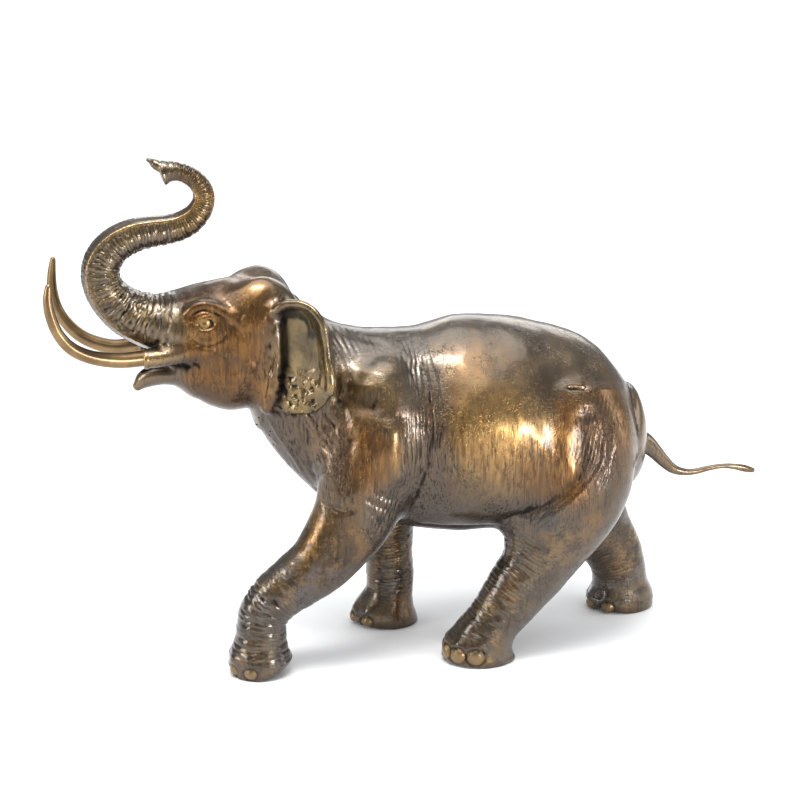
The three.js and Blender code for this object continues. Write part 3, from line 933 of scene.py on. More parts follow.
# %% Rings of the trunk
def trunk_place(p):
    """Which points are on the trunk, their place along it, and their angle from its underside."""
    k = np.nonzero(near(p, forms["trunk"].low, forms["trunk"].high, 6) & (p[:, 2] > 338))[0]
    s, u, v, _, wide, tall = forms["trunk"].local(p[k])
    size = np.sqrt((u / wide)**2 + (v / tall)**2)
    on = (size < 1.35) & ((s > 0.18) | (size < 1.12)) & (p[k][:, 0] < -200)
    k = k[on]
    return k, s[on], np.degrees(np.arctan2(np.abs(u[on]) / wide[on], v[on] / tall[on]))


def along_trunk(s, values):
    """A number that the trunk's path has at each of its places, read at s from 0 to 1."""
    return np.interp(s, np.linspace(0, 1, len(values)), values)


def ring_turns():
    """Rings counted from the root: their spacing is 0.2 of the trunk's half width."""
    trunk = forms["trunk"]
    return np.concatenate([[0], np.cumsum(trunk.step / (0.2 * trunk.wide[:-1]))])


RING_TURNS = ring_turns()


def trunk_relief(p):
    """Rings and wider wales as furrows, a ridge at 46 degrees from the underside, and a hollow with
    light cross furrows between the two ridges."""
    out = np.zeros(len(p))
    k, s, angle = trunk_place(p)
    q = p[k]
    wide = along_trunk(s, forms["trunk"].wide)
    turns = along_trunk(s, RING_TURNS)
    turns = turns + 0.55 * lumpy(q, (16, 9, 16)) + 0.3 * lumpy(q + 30, 7)
    back = step(angle, 50, 62)
    fade = step(s, 0.13, 0.36)
    deep = np.clip(0.7 + 0.9 * lumpy(q + 60, 11), 0.15, 1.5)
    rings = -0.085 * wide * furrows(turns, 3) * back * deep
    wales = -0.06 * wide * furrows(turns / 2.6 + 0.4 * lumpy(q + 8, 12), 3) * back
    edge = np.exp(-((angle - 46) * wide / 57.3 / 1.7)**2) * step(s, 0.10, 0.22) * step(s, 0.97, 0.8)
    under = -0.9 * step(angle, 42, 30) * step(s, 0.14, 0.26)
    cross = -0.25 * furrows(turns, 2) * step(angle, 40, 30)
    out[k] = (rings + wales) * fade + 1.6 * edge * (1 + 0.15 * np.cos(2 * np.pi * turns)) + under + cross
    return out


print("rings on the trunk:", int(RING_TURNS[-1]))

# %% [markdown]
# ## Legs and feet
# The legs are ringed where they bend, above the nails, with close furrows and wide ones together.
# The hind legs are smoother at the back.

# %% Rings of the legs
LEG_RINGS = {   # from and to along each leg (0 to 1) the skin bunches, and how strongly
    "fore_left": (0.72, 0.96, 1.6), "fore_right": (0.50, 0.90, 1.2),
    "hind_left": (0.56, 0.92, 1.1), "hind_right": (0.50, 0.90, 1.1)}


def leg_place(name, p):
    """Which points are on a leg, their place along it, and their angle round it."""
    leg = forms[name]
    k = np.nonzero(near(p, leg.low, leg.high, 4) & (p[:, 2] < 190))[0]
    s, u, v, _, wide, tall = leg.local(p[k])
    on = np.sqrt((u / wide)**2 + (v / tall)**2) < 1.3
    return k[on], s[on], np.arctan2(u[on], v[on])


def leg_relief(p):
    """Close furrows every 5.2 mm and wide ones every 13 mm, deeper and shallower by noise."""
    out = np.zeros(len(p))
    for name, (low, high, amount) in LEG_RINGS.items():
        k, s, angle = leg_place(name, p)
        q = p[k]
        mask = step(s, low - 0.12, low + 0.05) * step(s, high + 0.04, high - 0.05)
        if name.startswith("hind"):
            mask = mask * (0.25 + 0.75 * step(-np.cos(angle), -0.25, 0.45))
        run = s * forms[name].length
        turns = run / 5.2 + 0.8 * lumpy(q, (24, 24, 14)) + 0.25 * np.sin(2 * angle + s * 9)
        strength = np.clip(0.45 + 1.2 * lumpy(q + 50, 16), 0.0, 1.3)
        out[k] -= 0.8 * amount * mask * strength * furrows(turns, 3)
        wide_turns = run / 13.0 + 0.5 * lumpy(q + 90, 26) + 0.2 * np.sin(angle + 2)
        out[k] -= 0.9 * amount * mask * furrows(wide_turns, 4) * np.clip(0.6 + lumpy(q - 40, 18), 0, 1)
    return out


print("millimetres of each leg ringed:",
      {name: round((high - low) * forms[name].length) for name, (low, high, _) in LEG_RINGS.items()})

# %% [markdown]
# A nail is a hard shield let into soft skin. The carving presses a groove round it where the field
# of the nail is 1.5 mm, and swells the toe in a round lump above it.

# %% Nails
def nail_relief(p):
    """A groove round each nail, and a toe's swelling above it."""
    out = np.zeros(len(p))
    low = np.nonzero(p[:, 2] < 40)[0]
    q = p[low]
    made = np.zeros(len(q))
    for nail in toenails:
        gap = np.abs(nail(q, margin=12.0) - 1.5)
        made -= 1.2 * np.exp(-(gap / 1.1)**2)
        toe = q - (nail.centre + np.array([0, 0, 12]))
        made += 2.4 * np.exp(-(toe**2).sum(1) / 8.0**2)
    out[low] = made
    return out


toe_change = nail_relief(verts)
print(f"nails change the skin by {toe_change.min():.1f} to {toe_change.max():.1f} mm")


# %% [markdown]
# ## Folds of the hide
# Loose skin gathers behind the shoulder, in the groin and under the neck; a ledge of muscle crosses
# the shoulder, and the hip bone shows as a short crease. Each fold is a curve drawn on the side
# view, given as (x, z), with a width and a depth; a negative depth raises a ridge.

# %% Folds of the body
FOLDS = [
    # groin
    (((184, 284), (182, 262), (180, 240), (177, 216)), 11, 2.4),
    (((178, 228), (173, 208), (160, 195), (140, 182), (115, 170), (92, 159)), 5.5, 3.4),
    (((186, 226), (180, 206), (166, 190), (146, 176), (122, 162)), 3, 1.2),
    # hip bone and the crease on it
    (((166, 305), (176, 305), (186, 303)), 4, -0.8),
    (((165, 300.5), (176, 300.5), (188, 299)), 1.8, 2.8),
    # haunch
    (((200, 262), (198, 240), (188, 214), (172, 194)), 2.4, 0.9),
    (((212, 262), (212, 236), (202, 208)), 2.4, 0.5),
    (((200, 250), (196, 228), (184, 206)), 3, 0.9),
    (((210, 244), (206, 222), (194, 200)), 3, 0.8),
    (((154, 196), (140, 188), (124, 184)), 3, 0.8),
    # behind the shoulder
    (((2, 358), (11, 330), (16, 300), (16, 262), (12, 225), (6, 190), (-2, 165)), 11, 2.8),
    (((6, 350), (14, 325), (18, 296), (17, 260), (11, 222), (3, 188), (-6, 165)), 2.0, 1.0),
    (((-8, 344), (3, 318), (8, 290), (7, 250), (-1, 212)), 2.0, 0.9),
    (((20, 346), (25, 318), (26, 280), (23, 240), (17, 205)), 2.0, 0.7),
    # beside the keel
    (((-14, 154), (20, 147), (60, 144), (96, 148)), 4, 3.2),
    # shoulder: ledge, hollow and muscles
    (((-84, 316), (-72, 324), (-52, 326), (-34, 323), (-22, 316)), 7, -1.3),
    (((-72, 306), (-60, 297), (-46, 296), (-30, 304)), 11, 3.2),
    (((-66, 270), (-70, 250), (-73, 230), (-74, 204)), 8, 2.6),
    (((-90, 270), (-92, 240), (-94, 212)), 13, -3.6),
    (((-24, 282), (-26, 245), (-20, 206)), 14, -4.0),
    (((-76, 305), (-72, 280), (-70, 250)), 4, 1.4),
    (((-40, 302), (-48, 280), (-52, 255)), 4, 1.2),
    # top of the fore leg
    (((-100, 192), (-88, 187), (-76, 186), (-62, 189)), 3.4, 2.0),
    (((-58, 200), (-44, 191), (-30, 183), (-20, 166)), 3, 1.6),
    (((-56, 190), (-46, 180), (-36, 168), (-30, 152)), 3, 1.3),
    (((-46, 204), (-30, 198), (-16, 186), (-8, 168)), 3, 1.3),
    # neck and chest
    (((-144, 292), (-130, 268), (-114, 246), (-102, 222), (-96, 200)), 3.4, 1.5),
    (((-137, 293), (-123, 269), (-108, 247), (-97, 224)), 2.2, 0.8),
    (((-130, 294), (-116, 270), (-102, 248), (-92, 226)), 2.8, 1.1),
    (((-114, 292), (-102, 272), (-90, 254), (-80, 240)), 2.6, 1.0),
    (((-156, 280), (-144, 256), (-130, 234), (-118, 214)), 3.2, 1.2),
    (((-150, 286), (-137, 262), (-122, 240), (-110, 218)), 2.2, 0.8),
    (((-98, 296), (-88, 280), (-78, 268)), 2.6, 0.9),
    # withers
    (((-78, 372), (-60, 360), (-40, 352), (-20, 349)), 3.2, 1.0),
    (((-82, 352), (-76, 330), (-78, 306), (-80, 286)), 4, 2.0),
    (((-70, 346), (-64, 326), (-70, 300)), 3, 1.0)]
print(len(FOLDS), "folds on the body")

# %% [markdown]
# The face has finer folds: at the corners of the mouth, round the eye, on the temple and along the
# cheek. They are drawn in the same way, only smaller.

# %% Folds of the face
FACE_FOLDS = [
    (((-176, 388), (-171, 383), (-169, 374)), 4.5, -1.8),
    (((-171, 343), (-166, 337), (-164, 329)), 4.5, -1.9),
    (((-183, 330), (-179, 316), (-181, 303)), 5, -1.3),
    (((-194, 352), (-186, 350), (-180, 345)), 4, -1.2),
    (((-247, 337), (-239, 338), (-231, 335), (-226, 331)), 2.4, 1.8),
    (((-226, 341), (-220, 334), (-221, 325), (-227, 318)), 2.6, 1.5),
    (((-229, 386), (-223, 391.5), (-212, 394.8), (-201, 391.8), (-189, 385.5)), 1.6, 1.1),
    (((-231, 377), (-224, 366), (-212, 360), (-199, 363), (-190, 372)), 1.8, 0.9),
    (((-229, 372), (-222, 361), (-210, 355), (-195, 358)), 1.8, 0.7),
    (((-186, 382), (-178, 374), (-172, 362)), 1.9, 0.8),
    (((-182, 390), (-172, 382), (-165, 368)), 1.9, 0.7),
    (((-175, 346), (-167, 341), (-160, 343)), 5, 0.9),
    (((-150, 398), (-146, 407), (-140, 408)), 6, 1.0),
    (((-214, 332), (-206, 322), (-203, 308)), 2.4, 0.5),
    (((-158, 372), (-153, 355), (-154, 330), (-160, 308)), 3.6, 0.9)]


def hide_relief(p, facing):
    """All folds, on skin that faces sideways: less depth times the stroke, for each fold."""
    out = np.zeros(len(p))
    side_view = p[:, [0, 2]] + 1.6 * np.stack([lumpy(p, 22), lumpy(p + 70, 22)], 1)
    sideways = step(np.abs(facing[:, 1]), 0.15, 0.5)
    for path, width, depth in FOLDS:
        out -= depth * stroke(side_view, path, width) * sideways
    face = (p[:, 0] < -140) & (np.abs(p[:, 1]) > 12)
    close = p[:, [0, 2]][face]
    made = np.zeros(len(close))
    for path, width, depth in FACE_FOLDS:
        made -= depth * stroke(close, path, width)
    out[face] += made * sideways[face]
    return out


print(len(FACE_FOLDS), "folds on the face")

# %% [markdown]
# Between the folds the hide is gathered in patches of close wavy furrows, which lean one way or the
# other as the skin is pulled.

# %% Gathers
GATHERS = [   # (x, z) of the middle, half sizes, spacing, depth, slant of the gathers in the side view
    ((11, 262), (24, 105), 4.8, 1.25, -0.02), ((-112, 250), (42, 52), 5.5, 1.1, 0.62),
    ((-62, 360), (34, 26), 5.5, 0.8, 0.45), ((196, 240), (26, 50), 4.4, 1.0, -0.35),
    ((120, 166), (48, 22), 5.5, 0.8, -0.9), ((-30, 178), (28, 32), 5.5, 1.1, -0.6)]


def gather_relief(p, facing):
    """Patches of close wavy furrows; slant turns them from upright."""
    out = np.zeros(len(p))
    sideways = step(np.abs(facing[:, 1]), 0.1, 0.5)
    for (x, z), (wide, tall), gap, depth, slant in GATHERS:
        dx, dz = (p[:, 0] - x), (p[:, 2] - z)
        mask = np.exp(-np.clip((dx / wide)**2 + (dz / tall)**2, 0, 20)**1.5)
        k = np.nonzero((mask > 0.03) & (sideways > 0))[0]
        q = p[k]
        across = (dx[k] + slant * dz[k]) / math.hypot(1, slant)
        turns = across / gap + 0.55 * lumpy(q, (24, 24, 40)) + 0.2 * lumpy(q + 33, 12)
        strength = np.clip(0.6 + 0.9 * lumpy(q + 21, (16, 16, 26)), 0, 1.3)
        out[k] -= depth * mask[k] * strength * furrows(turns, 2) * sideways[k]
    return out


print(len(GATHERS), "patches of gathers, up to", max(row[3] for row in GATHERS), "mm deep")


# %% [markdown]
# The clay under the bronze was pressed by hand, and is nowhere quite even. Two sizes of lumps give
# it that, and the ears carry waves from root to rim and a rough crust low down.

# %% Unevenness and ears
def modelled_relief(p):
    """Low unevenness of a surface pressed by hand, stronger on the hide than on the feet, and a
    furrow each side of the keel under the belly."""
    quiet = step(p[:, 2], 12, 40)
    keel = 2.2 * np.exp(-((np.abs(p[:, 1]) - 26) / 6)**2) * step(p[:, 2], 158, 142)
    keel = keel * step(p[:, 0], -30, 0) * step(p[:, 0], 135, 105)
    tool = -keel + 0.30 * lumpy(p, (13, 13, 24)) + 0.09 * lumpy(p + 40, (6, 6, 11)) + 1.1 * lumpy(p + 9, 40)
    on_tail = step(p[:, 0], 262, 285)
    on_trunk_tip = step(-p[:, 0], 225, 245)
    return tool * (0.35 + 0.65 * quiet) * (1 - 0.85 * on_tail) * (1 - 0.75 * on_trunk_tip)


def ear_relief(p):
    """Waves that run from root to rim, and rough crusty lumps low on the shell."""
    out = np.zeros(len(p))
    mirrored = np.abs(p[:, 1])
    height = p[:, 2] + np.where(p[:, 1] > 0, right_ear.drop, 0)
    on_shell = (p[:, 0] > -141) & (p[:, 0] < -78) & (mirrored > 42) & (height > 286) & (height < 418)
    k = np.nonzero(on_shell)[0]
    q = p[k]
    lower = step(height[k], 338, 318) * step(q[:, 0], -92, -104)
    crust = 3.0 * lumpy(q, (6.5, 6.5, 8)) + 1.6 * np.abs(lumpy(q + 5, 4.5))
    wave = 0.5 * lumpy(q + 60, (9, 9, 16))
    out[k] = lower * crust + wave * (1 - 0.4 * lower)
    at_roll = (np.abs(p[:, 0] + 145) < 10) & (mirrored > 40) & (p[:, 2] > 285) & (p[:, 2] < 392)
    roll = np.nonzero(at_roll)[0]
    out[roll] += 1.3 * lumpy(p[roll], (6, 6, 9)) * step(np.abs(p[roll, 0] + 145), 10, 7)
    return out


print(f"the right ear hangs {right_ear.drop} mm lower and opens {right_ear.spread} times as far")

# %% [markdown]
# The sheaths are ribbed where they grip the tusks, and loose skin lies in fine rings round the eye.

# %% Sheaths and eyes
def sheath_relief(p):
    """Close ribs round the skin that grips each tusk."""
    out = np.zeros(len(p))
    for name in ("sheath_left", "sheath_right"):
        sheath = forms[name]
        k = np.nonzero(near(p, sheath.low, sheath.high, 2) & (p[:, 0] < -222))[0]
        s, u, v, _, wide, tall = sheath.local(p[k])
        on = np.sqrt((u / wide)**2 + (v / tall)**2) < 1.35
        k, s = k[on], s[on]
        turns = s * sheath.length / 6.0 + 0.4 * lumpy(p[k], 9)
        out[k] -= 0.5 * furrows(turns, 3) * step(s, 0.25, 0.5) * np.clip(0.5 + lumpy(p[k], 8), 0, 1)
        out[k] += 0.8 * np.exp(-((s - 0.97) / 0.03)**2)
    return out


EYE = (-211.5, 381.2)       # middle of the eye in the side view, (x, z)


def eye_relief(p):
    """Fine rings of loose skin round the eye, deepest below it."""
    out = np.zeros(len(p))
    face = near(p, np.array([-240, -60, 350]), np.array([-185, 60, 392]), 0)
    k = np.nonzero(face & (np.abs(p[:, 1]) > 25))[0]
    q = p[k]
    reach = np.hypot((q[:, 0] - EYE[0]) * 0.9, q[:, 2] - EYE[1])
    turns = reach / 2.7 + 0.25 * lumpy(q, 9)
    mask = step(reach, 9.5, 12) * step(reach, 26, 17) * step(q[:, 2], 384, 374)
    out[k] = -0.55 * furrows(turns, 2) * mask * np.clip(0.8 + lumpy(q + 14, 8), 0.2, 1.2)
    return out


print("points round the eyes:", int((eye_relief(verts) < 0).sum()))


# %% [markdown]
# All the reliefs are added up, and each point of the skin moves by that much along its own outward
# direction. Nothing goes below the soles.

# %% Carved skin
def relief(p, facing):
    """Height of the carving above the plain skin, in millimetres."""
    return (trunk_relief(p) + eye_relief(p) + leg_relief(p) + nail_relief(p) + hide_relief(p, facing)
            + gather_relief(p, facing) + modelled_relief(p) + ear_relief(p) + sheath_relief(p))


heights = relief(verts, outer)
carved = verts + outer * heights[:, None]
carved[:, 2] = np.maximum(carved[:, 2], 0)
print(f"relief from {heights.min():.1f} to {heights.max():.1f} mm, {time.time() - started:.0f} s")

# %% [markdown]
# ## From points to a mesh
# `closed_mesh` turns arrays of points and faces into a mesh, in metres, and two helpers read a
# mesh's points and directions back as arrays.

# %% Meshes and arrays
def closed_mesh(name, points, faces):
    """Mesh in metres, about the origin under the middle of the figure."""
    mesh = bpy.data.meshes.new(name)
    mesh.vertices.add(len(points))
    mesh.vertices.foreach_set("co", ((points - CENTRE) / 1000).astype(np.float32).ravel())
    faces = np.asarray(faces)
    mesh.loops.add(faces.size)
    mesh.loops.foreach_set("vertex_index", faces.astype(np.int32).ravel())
    mesh.polygons.add(len(faces))
    size = faces.shape[1]
    mesh.polygons.foreach_set("loop_start", np.arange(0, faces.size, size, dtype=np.int32))
    mesh.update(calc_edges=True)
    mesh.validate()
    return mesh


def placed(name, mesh):
    """An object that shows a mesh, at the origin and unturned."""
    made = bpy.data.objects.new(name, mesh)
    bpy.context.collection.objects.link(made)
    return made


def points_of(mesh):
    """The vertices' places, in millimetres."""
    co = np.empty(len(mesh.vertices) * 3, np.float32)
    mesh.vertices.foreach_get("co", co)
    return co.reshape(-1, 3).astype(float) * 1000 + CENTRE


def facing_of(mesh):
    """The vertices' unit outward directions."""
    n = np.empty(len(mesh.vertices) * 3, np.float32)
    mesh.vertex_normals.foreach_get("vector", n)
    return n.reshape(-1, 3).astype(float)


# %% [markdown]
# The skin has far more faces than its flat parts need. Decimate joins the ones that lie flat and
# leaves the creases sharp. Data Transfer then copies the full skin's directions onto the thinned
# one, so that it shades as smoothly as before.

# %% Mesh of the casting
def thinned(mesh, ratio):
    """The mesh with only this share of its triangles, shaded with the full mesh's own directions."""
    mesh.polygons.foreach_set("use_smooth", np.ones(len(mesh.polygons), bool))
    full, carrier = placed("full", mesh), placed("thinning", mesh)
    carrier.modifiers.new("thin", "DECIMATE").ratio = ratio
    shading = carrier.modifiers.new("shading", "DATA_TRANSFER")
    shading.object, shading.use_loop_data = full, True
    shading.data_types_loops, shading.loop_mapping = {"CUSTOM_NORMAL"}, "POLYINTERP_NEAREST"
    bpy.context.view_layer.update()
    graph = bpy.context.evaluated_depsgraph_get()
    thin = bpy.data.meshes.new_from_object(carrier.evaluated_get(graph))
    for done in (carrier, full):
        bpy.data.objects.remove(done)
    bpy.data.meshes.remove(mesh)
    return thin


TRIANGLES = 190000
skin = thinned(closed_mesh("elephant_skin", carved, faces), TRIANGLES / (2 * len(faces)))
elephant = placed("elephant_casting", skin)
print(f"casting: {sum(len(f.vertices) - 2 for f in skin.polygons)} triangles, {time.time() - started:.0f} s")

# %% [markdown]
# ## Marks for the patina
# A founder darkens the whole casting and then rubs it back, so dark stays in the hollows and the
# high places shine. Each vertex carries a few numbers that say how hollow it is, which part it
# belongs to, and where the rings run, and the material reads them. Hollows are found by comparing
# each point with the mean of its neighbours, and sheltered places by how much metal is 9 mm out
# from the skin.

# %% Hollows and shelter
def set_mark(mesh, name, values):
    """Stores one number for each vertex, under a name that the material asks for."""
    mark = mesh.attributes.new(name, "FLOAT", "POINT")
    mark.data.foreach_set("value", np.asarray(values, np.float32))


def neighbour_mean(mesh, values, rounds):
    """Averages a number over each vertex and its neighbours, several times."""
    ends = np.empty(len(mesh.edges) * 2, np.int32)
    mesh.edges.foreach_get("vertices", ends)
    a, b = ends.reshape(-1, 2).T
    count = np.bincount(np.concatenate([a, b]), minlength=len(values)) + 1.0
    for _ in range(rounds):
        total = np.bincount(a, values[b], len(values)) + np.bincount(b, values[a], len(values))
        values = (total + values) / count
    return values


def bend_of(mesh, rounds):
    """Height of each point above its surroundings, along its own direction, in millimetres."""
    p, n = points_of(mesh), facing_of(mesh)
    mean = np.stack([neighbour_mean(mesh, p[:, k], rounds) for k in range(3)], 1)
    return ((p - mean) * n).sum(1)


points, facing = points_of(skin), facing_of(skin)
fine_bend = bend_of(skin, 3)
wide_bend = bend_of(skin, 24)
print("bend", np.round(np.percentile(fine_bend, [2, 25, 50, 75, 98]), 2),
      np.round(np.percentile(wide_bend, [2, 25, 50, 75, 98]), 2))
SHELTER_REACH = 9.0         # millimetres
shelter = 1 - np.clip(elephant_field(points + facing * SHELTER_REACH) / SHELTER_REACH, 0, 1)
set_mark(skin, "crease", np.clip(neighbour_mean(skin, -fine_bend, 2) / 0.45, -0.3, 1))
set_mark(skin, "bulge", np.clip(wide_bend / 2.0, -1, 1))
set_mark(skin, "shelter", neighbour_mean(skin, shelter, 2))

# %% [markdown]
# The rings of the trunk and the legs are marked with a count, so that the material can draw fine
# grooves between the carved ones, and with where they show. The gathers are marked with the way
# they lean, so that the chased strokes follow them.

# %% Rings and gathers
def ring_marks(p):
    """Count of rings, where they show, and the ridges beside the trunk's underside."""
    turns, back, edge = np.zeros(len(p)), np.zeros(len(p)), np.zeros(len(p))
    k, s, angle = trunk_place(p)
    wide = along_trunk(s, forms["trunk"].wide)
    turns[k] = along_trunk(s, RING_TURNS)
    back[k] = step(angle, 50, 62) * step(s, 0.07, 0.26)
    edge[k] = np.exp(-((angle - 46) * wide / 57.3 / 2.2)**2) * step(s, 0.10, 0.22) * step(s, 1.0, 0.85)
    for name, (low, high, _) in LEG_RINGS.items():
        k, s, angle = leg_place(name, p)
        turns[k] = s * forms[name].length / 4.4
        back[k] = 0.6 * step(s, low - 0.10, low + 0.06) * step(s, high + 0.06, high - 0.04)
        if name.startswith("hind"):
            back[k] *= 0.15 + 0.85 * step(-np.cos(angle), -0.25, 0.45)
    return turns, back, edge


def gathered_mark(p):
    """Where the hide is closely hatched, and which way: 1 leans down and back, -1 down and forward."""
    close, lean = np.full(len(p), 0.16), np.zeros(len(p))
    for (x, z), (wide, tall), _, _, slant in GATHERS:
        oval = ((p[:, 0] - x) / (1.2 * wide))**2 + ((p[:, 2] - z) / (1.2 * tall))**2
        mask = np.exp(-np.clip(oval, 0, 20)**1.5)
        close += mask
        lean += mask * np.clip(slant / 0.6, -1, 1)
    return np.clip(close, 0, 1), np.clip(lean, -1, 1)


turns, ringed, edged = ring_marks(points)
close_set, lean = gathered_mark(points)
set_mark(skin, "ring_turns", turns)
set_mark(skin, "ringed", ringed)
set_mark(skin, "lean", neighbour_mean(skin, lean, 2))
print(f"ringed {ringed.mean():.2f}, gathered {close_set.mean():.2f} of the skin")

# %% [markdown]
# Hands and cloth rub a bronze brightest on its rims, brows, nails and tail, and on the round of the
# barrel. Acid and heat turn some parts more orange than others. Both are marked with soft round
# patches of a chosen strength, the same on each side, and with bands that follow the parts.

# %% Nails and patches
def nail_mark(p):
    """1 on each toenail."""
    out = np.zeros(len(p))
    low = np.nonzero(p[:, 2] < 30)[0]
    for nail in toenails:
        out[low] = np.maximum(out[low], step(nail(p[low], margin=12.0), 1.3, 0.3))
    return out


def patches(p, rows):
    """Sum of strength times exp(-(distance / radius) squared), on both sides of the animal."""
    total = np.zeros(len(p))
    for x, y, z, radius, strength in rows:
        for side in (y, -y):
            total += strength * np.exp(-((p - np.array([x, side, z]))**2).sum(1) / radius**2)
    return total


RUBBED = (      # x, y, z, radius, strength
    (80, 90, 290, 60, 0.35), (100, 95, 235, 55, 0.3), (-88, 70, 245, 24, 0.3), (-20, 80, 240, 26, 0.35),
    (215, 70, 250, 36, 0.2), (-170, 50, 395, 22, 0.05), (-100, 80, 150, 24, 0.3), (-112, 75, 120, 30, 0.25),
    (160, 90, 150, 36, 0.1), (-45, 70, 335, 22, 0.3), (-190, 45, 320, 30, -0.3))
ORANGE = (
    (205, 75, 262, 48, 0.9), (175, 85, 200, 42, 0.6), (-105, 60, 250, 45, 0.5), (-50, 80, 235, 45, 0.7),
    (-100, 80, 145, 42, 0.9), (50, 90, 262, 52, 0.75), (115, 90, 240, 55, 0.6), (95, 70, 352, 46, 0.6),
    (20, 60, 345, 30, 0.3), (-60, 60, 300, 34, 0.5), (225, 70, 300, 40, 0.5), (0, 70, 100, 60, 0.6),
    (255, 64, 90, 50, 0.6))


nails = nail_mark(points)
set_mark(skin, "nail", nails)
set_mark(skin, "gathered", close_set * (1 - nails))
print(len(RUBBED), "rubbed patches and", len(ORANGE), "orange ones on each side")

# %% [markdown]
# The rubbed mark adds the patches to the parts that are always touched: the ear's rim and lower
# shell, the brow and lids, the end of the tail, the cheeks and the sheaths. The feet stay dull.

# %% Gold and warmth
def gilt_mark(p):
    """Where the casting is rubbed brightest: rims, brows, nails, the trunk's edges, the tail."""
    gold = 0.9 * edged + 0.35 * nails
    for ear in (left_ear, right_ear):
        q = ear.own(p)
        on_ear = step(ear(p), 4, 2)
        gold += 0.22 * step(ear.rim(q), 2.6, 0.4) * (np.abs(p[:, 1]) > 40)
        gold += 0.45 * step(q[:, 2], 345, 320) * step(q[:, 0], -140, -132) * on_ear
        gold += 0.25 * step(q[:, 0], -137, -122) * on_ear * (q[:, 1] > 44)
    for bead in brows:
        gold += 0.1 * step(bead(p), 1.6, 0.2)
    for bead in eyelids:
        gold += 0.12 * step(bead(p), 1.4, 0.2)
    gold += 0.25 * step(p[:, 0], 275, 310)
    gold += 0.2 * step(-p[:, 0], 215, 240) * step(p[:, 2], 380, 350)
    for name in ("sheath_left", "sheath_right"):
        gold += 0.5 * step(forms[name](p), 3.5, 1.0) * step(-p[:, 0], 232, 255)
    gold += patches(p, RUBBED) - 0.4 * step(p[:, 2], 75, 45) * (1 - nails)
    return np.clip(gold, -0.5, 1)


def warmth_mark(p):
    """Where the brown runs to orange: the head, the shoulder, the haunch and the upper forearm."""
    head = 0.9 * step(-p[:, 0], 120, 165) * step(p[:, 0], -245, -225) * step(p[:, 2], 270, 290)
    return np.clip(head + patches(p, ORANGE), 0, 1)


gilt, warmth = gilt_mark(points), warmth_mark(points)
set_mark(skin, "gilt", gilt)
set_mark(skin, "warmth", warmth)
print(f"mean gold {gilt.mean():.2f}, mean warmth {warmth.mean():.2f}")

# %% [markdown]
# Shade is painted, nearly black, into the deepest gaps: behind the ear's front roll, beside the
# keel, in the groin, in the hollow of the shoulder, round the nails, in the mouth and in the
# nostrils. The open face of each ear is a greener gold, and the eye has an iris and a pupil.

# %% Painted shade, ears and eyes
# paths along which shade is painted nearly black
SHADE_PAINTED_PATHS = (      # path in the side view, width, strength, and how far out from the middle it starts
    (((-16, 154), (20, 147), (60, 144), (98, 148)), 3.5, 0.75, 0),
    (((-262, 334), (-248, 335), (-235, 334), (-226, 330)), 4.0, 1.0, 0),
    (((-68, 304), (-56, 297), (-44, 299), (-34, 305)), 8, 0.5, 40),
    (((184, 284), (181, 262), (180, 240), (174, 210), (150, 190)), 5.5, 0.5, 40))
BEHIND_ROLL = ((-135, 396), (-132, 376), (-130.5, 353), (-132, 330), (-136, 308), (-140, 288))


def painted_shade_mark(p):
    """Painted shade, a sum of strokes in the deep places, bands round the nails and the two cuts in the head.
    """
    side_view, out = p[:, [0, 2]], np.abs(p[:, 1])
    gloom = np.minimum(1.5 * stroke(side_view, BEHIND_ROLL, 4.5), 1) * (out > 30) * (out < 62)
    for path, width, strength, start in SHADE_PAINTED_PATHS:
        gloom += strength * stroke(side_view, path, width) * (out >= start)
    cuticle = np.zeros(len(p))
    low = np.nonzero(p[:, 2] < 32)[0]
    for nail in toenails:
        band = 0.75 * np.exp(-((nail(p[low], margin=12.0) - 1.7) / 0.9)**2)
        cuticle[low] = np.maximum(cuticle[low], band)
    cuts = step(nostril(p), 1.5, -0.5) + step(scoop(p), 0.8, -0.5)
    return np.clip(gloom + cuticle + cuts, 0, 1)


def ear_mark(p):
    """1 on the open face of each ear."""
    out = np.zeros(len(p))
    for ear in (left_ear, right_ear):
        q = ear.own(p)
        out = np.maximum(out, step(ear(p), 4, 2) * step(q[:, 0], -137, -122) * (q[:, 1] > 44))
    return out


PUPIL = np.array([-212.5, 42.5, 382])
one_side = np.stack([points[:, 0], np.abs(points[:, 1]), points[:, 2]], 1)
eye_near = np.linalg.norm(one_side - PUPIL, axis=1)
# painted shade: nearly black in the gaps, the cuts and the deepest hollows
set_mark(skin, "gloom", painted_shade_mark(points))
# how far each point faces up; the material paints a grey sky sheen on top and shade underneath from it
set_mark(skin, "skyward", neighbour_mean(skin, np.clip(facing[:, 2], -1, 1), 6))
set_mark(skin, "lower", step(points[:, 2], 215, 130))
set_mark(skin, "ear", ear_mark(points))
set_mark(skin, "iris", step(eye_near, 6.0, 4.8))
set_mark(skin, "pupil", step(eye_near, 2.4, 1.4))
print(f"{len(skin.attributes)} attributes on the casting, {time.time() - started:.0f} s")

# %% [markdown]
# ## Patinated bronze
# The metal is brown where the acid and wax have darkened it and brassy where it has been rubbed.
# Over both lies a thin clear lacquer. First come the marks, read back from the mesh, and the noises
# that the finish is drawn from, wide clouds to fine streaks.

# %% Marks and noises
def marks_of(bench):
    """Each number that the casting's vertices carry, under its own name."""
    names = ("crease", "bulge", "shelter", "gilt", "ringed", "ring_turns", "iris", "pupil", "lean", "gloom",
             "skyward", "warmth", "lower", "nail", "ear", "gathered")
    mark = SimpleNamespace(**{name: bench.mark(name) for name in names})
    mark.crease = mark.crease.ramp(0.1, 1.1)
    mark.top = mark.skyward.ramp(0.15, 0.65)
    return mark


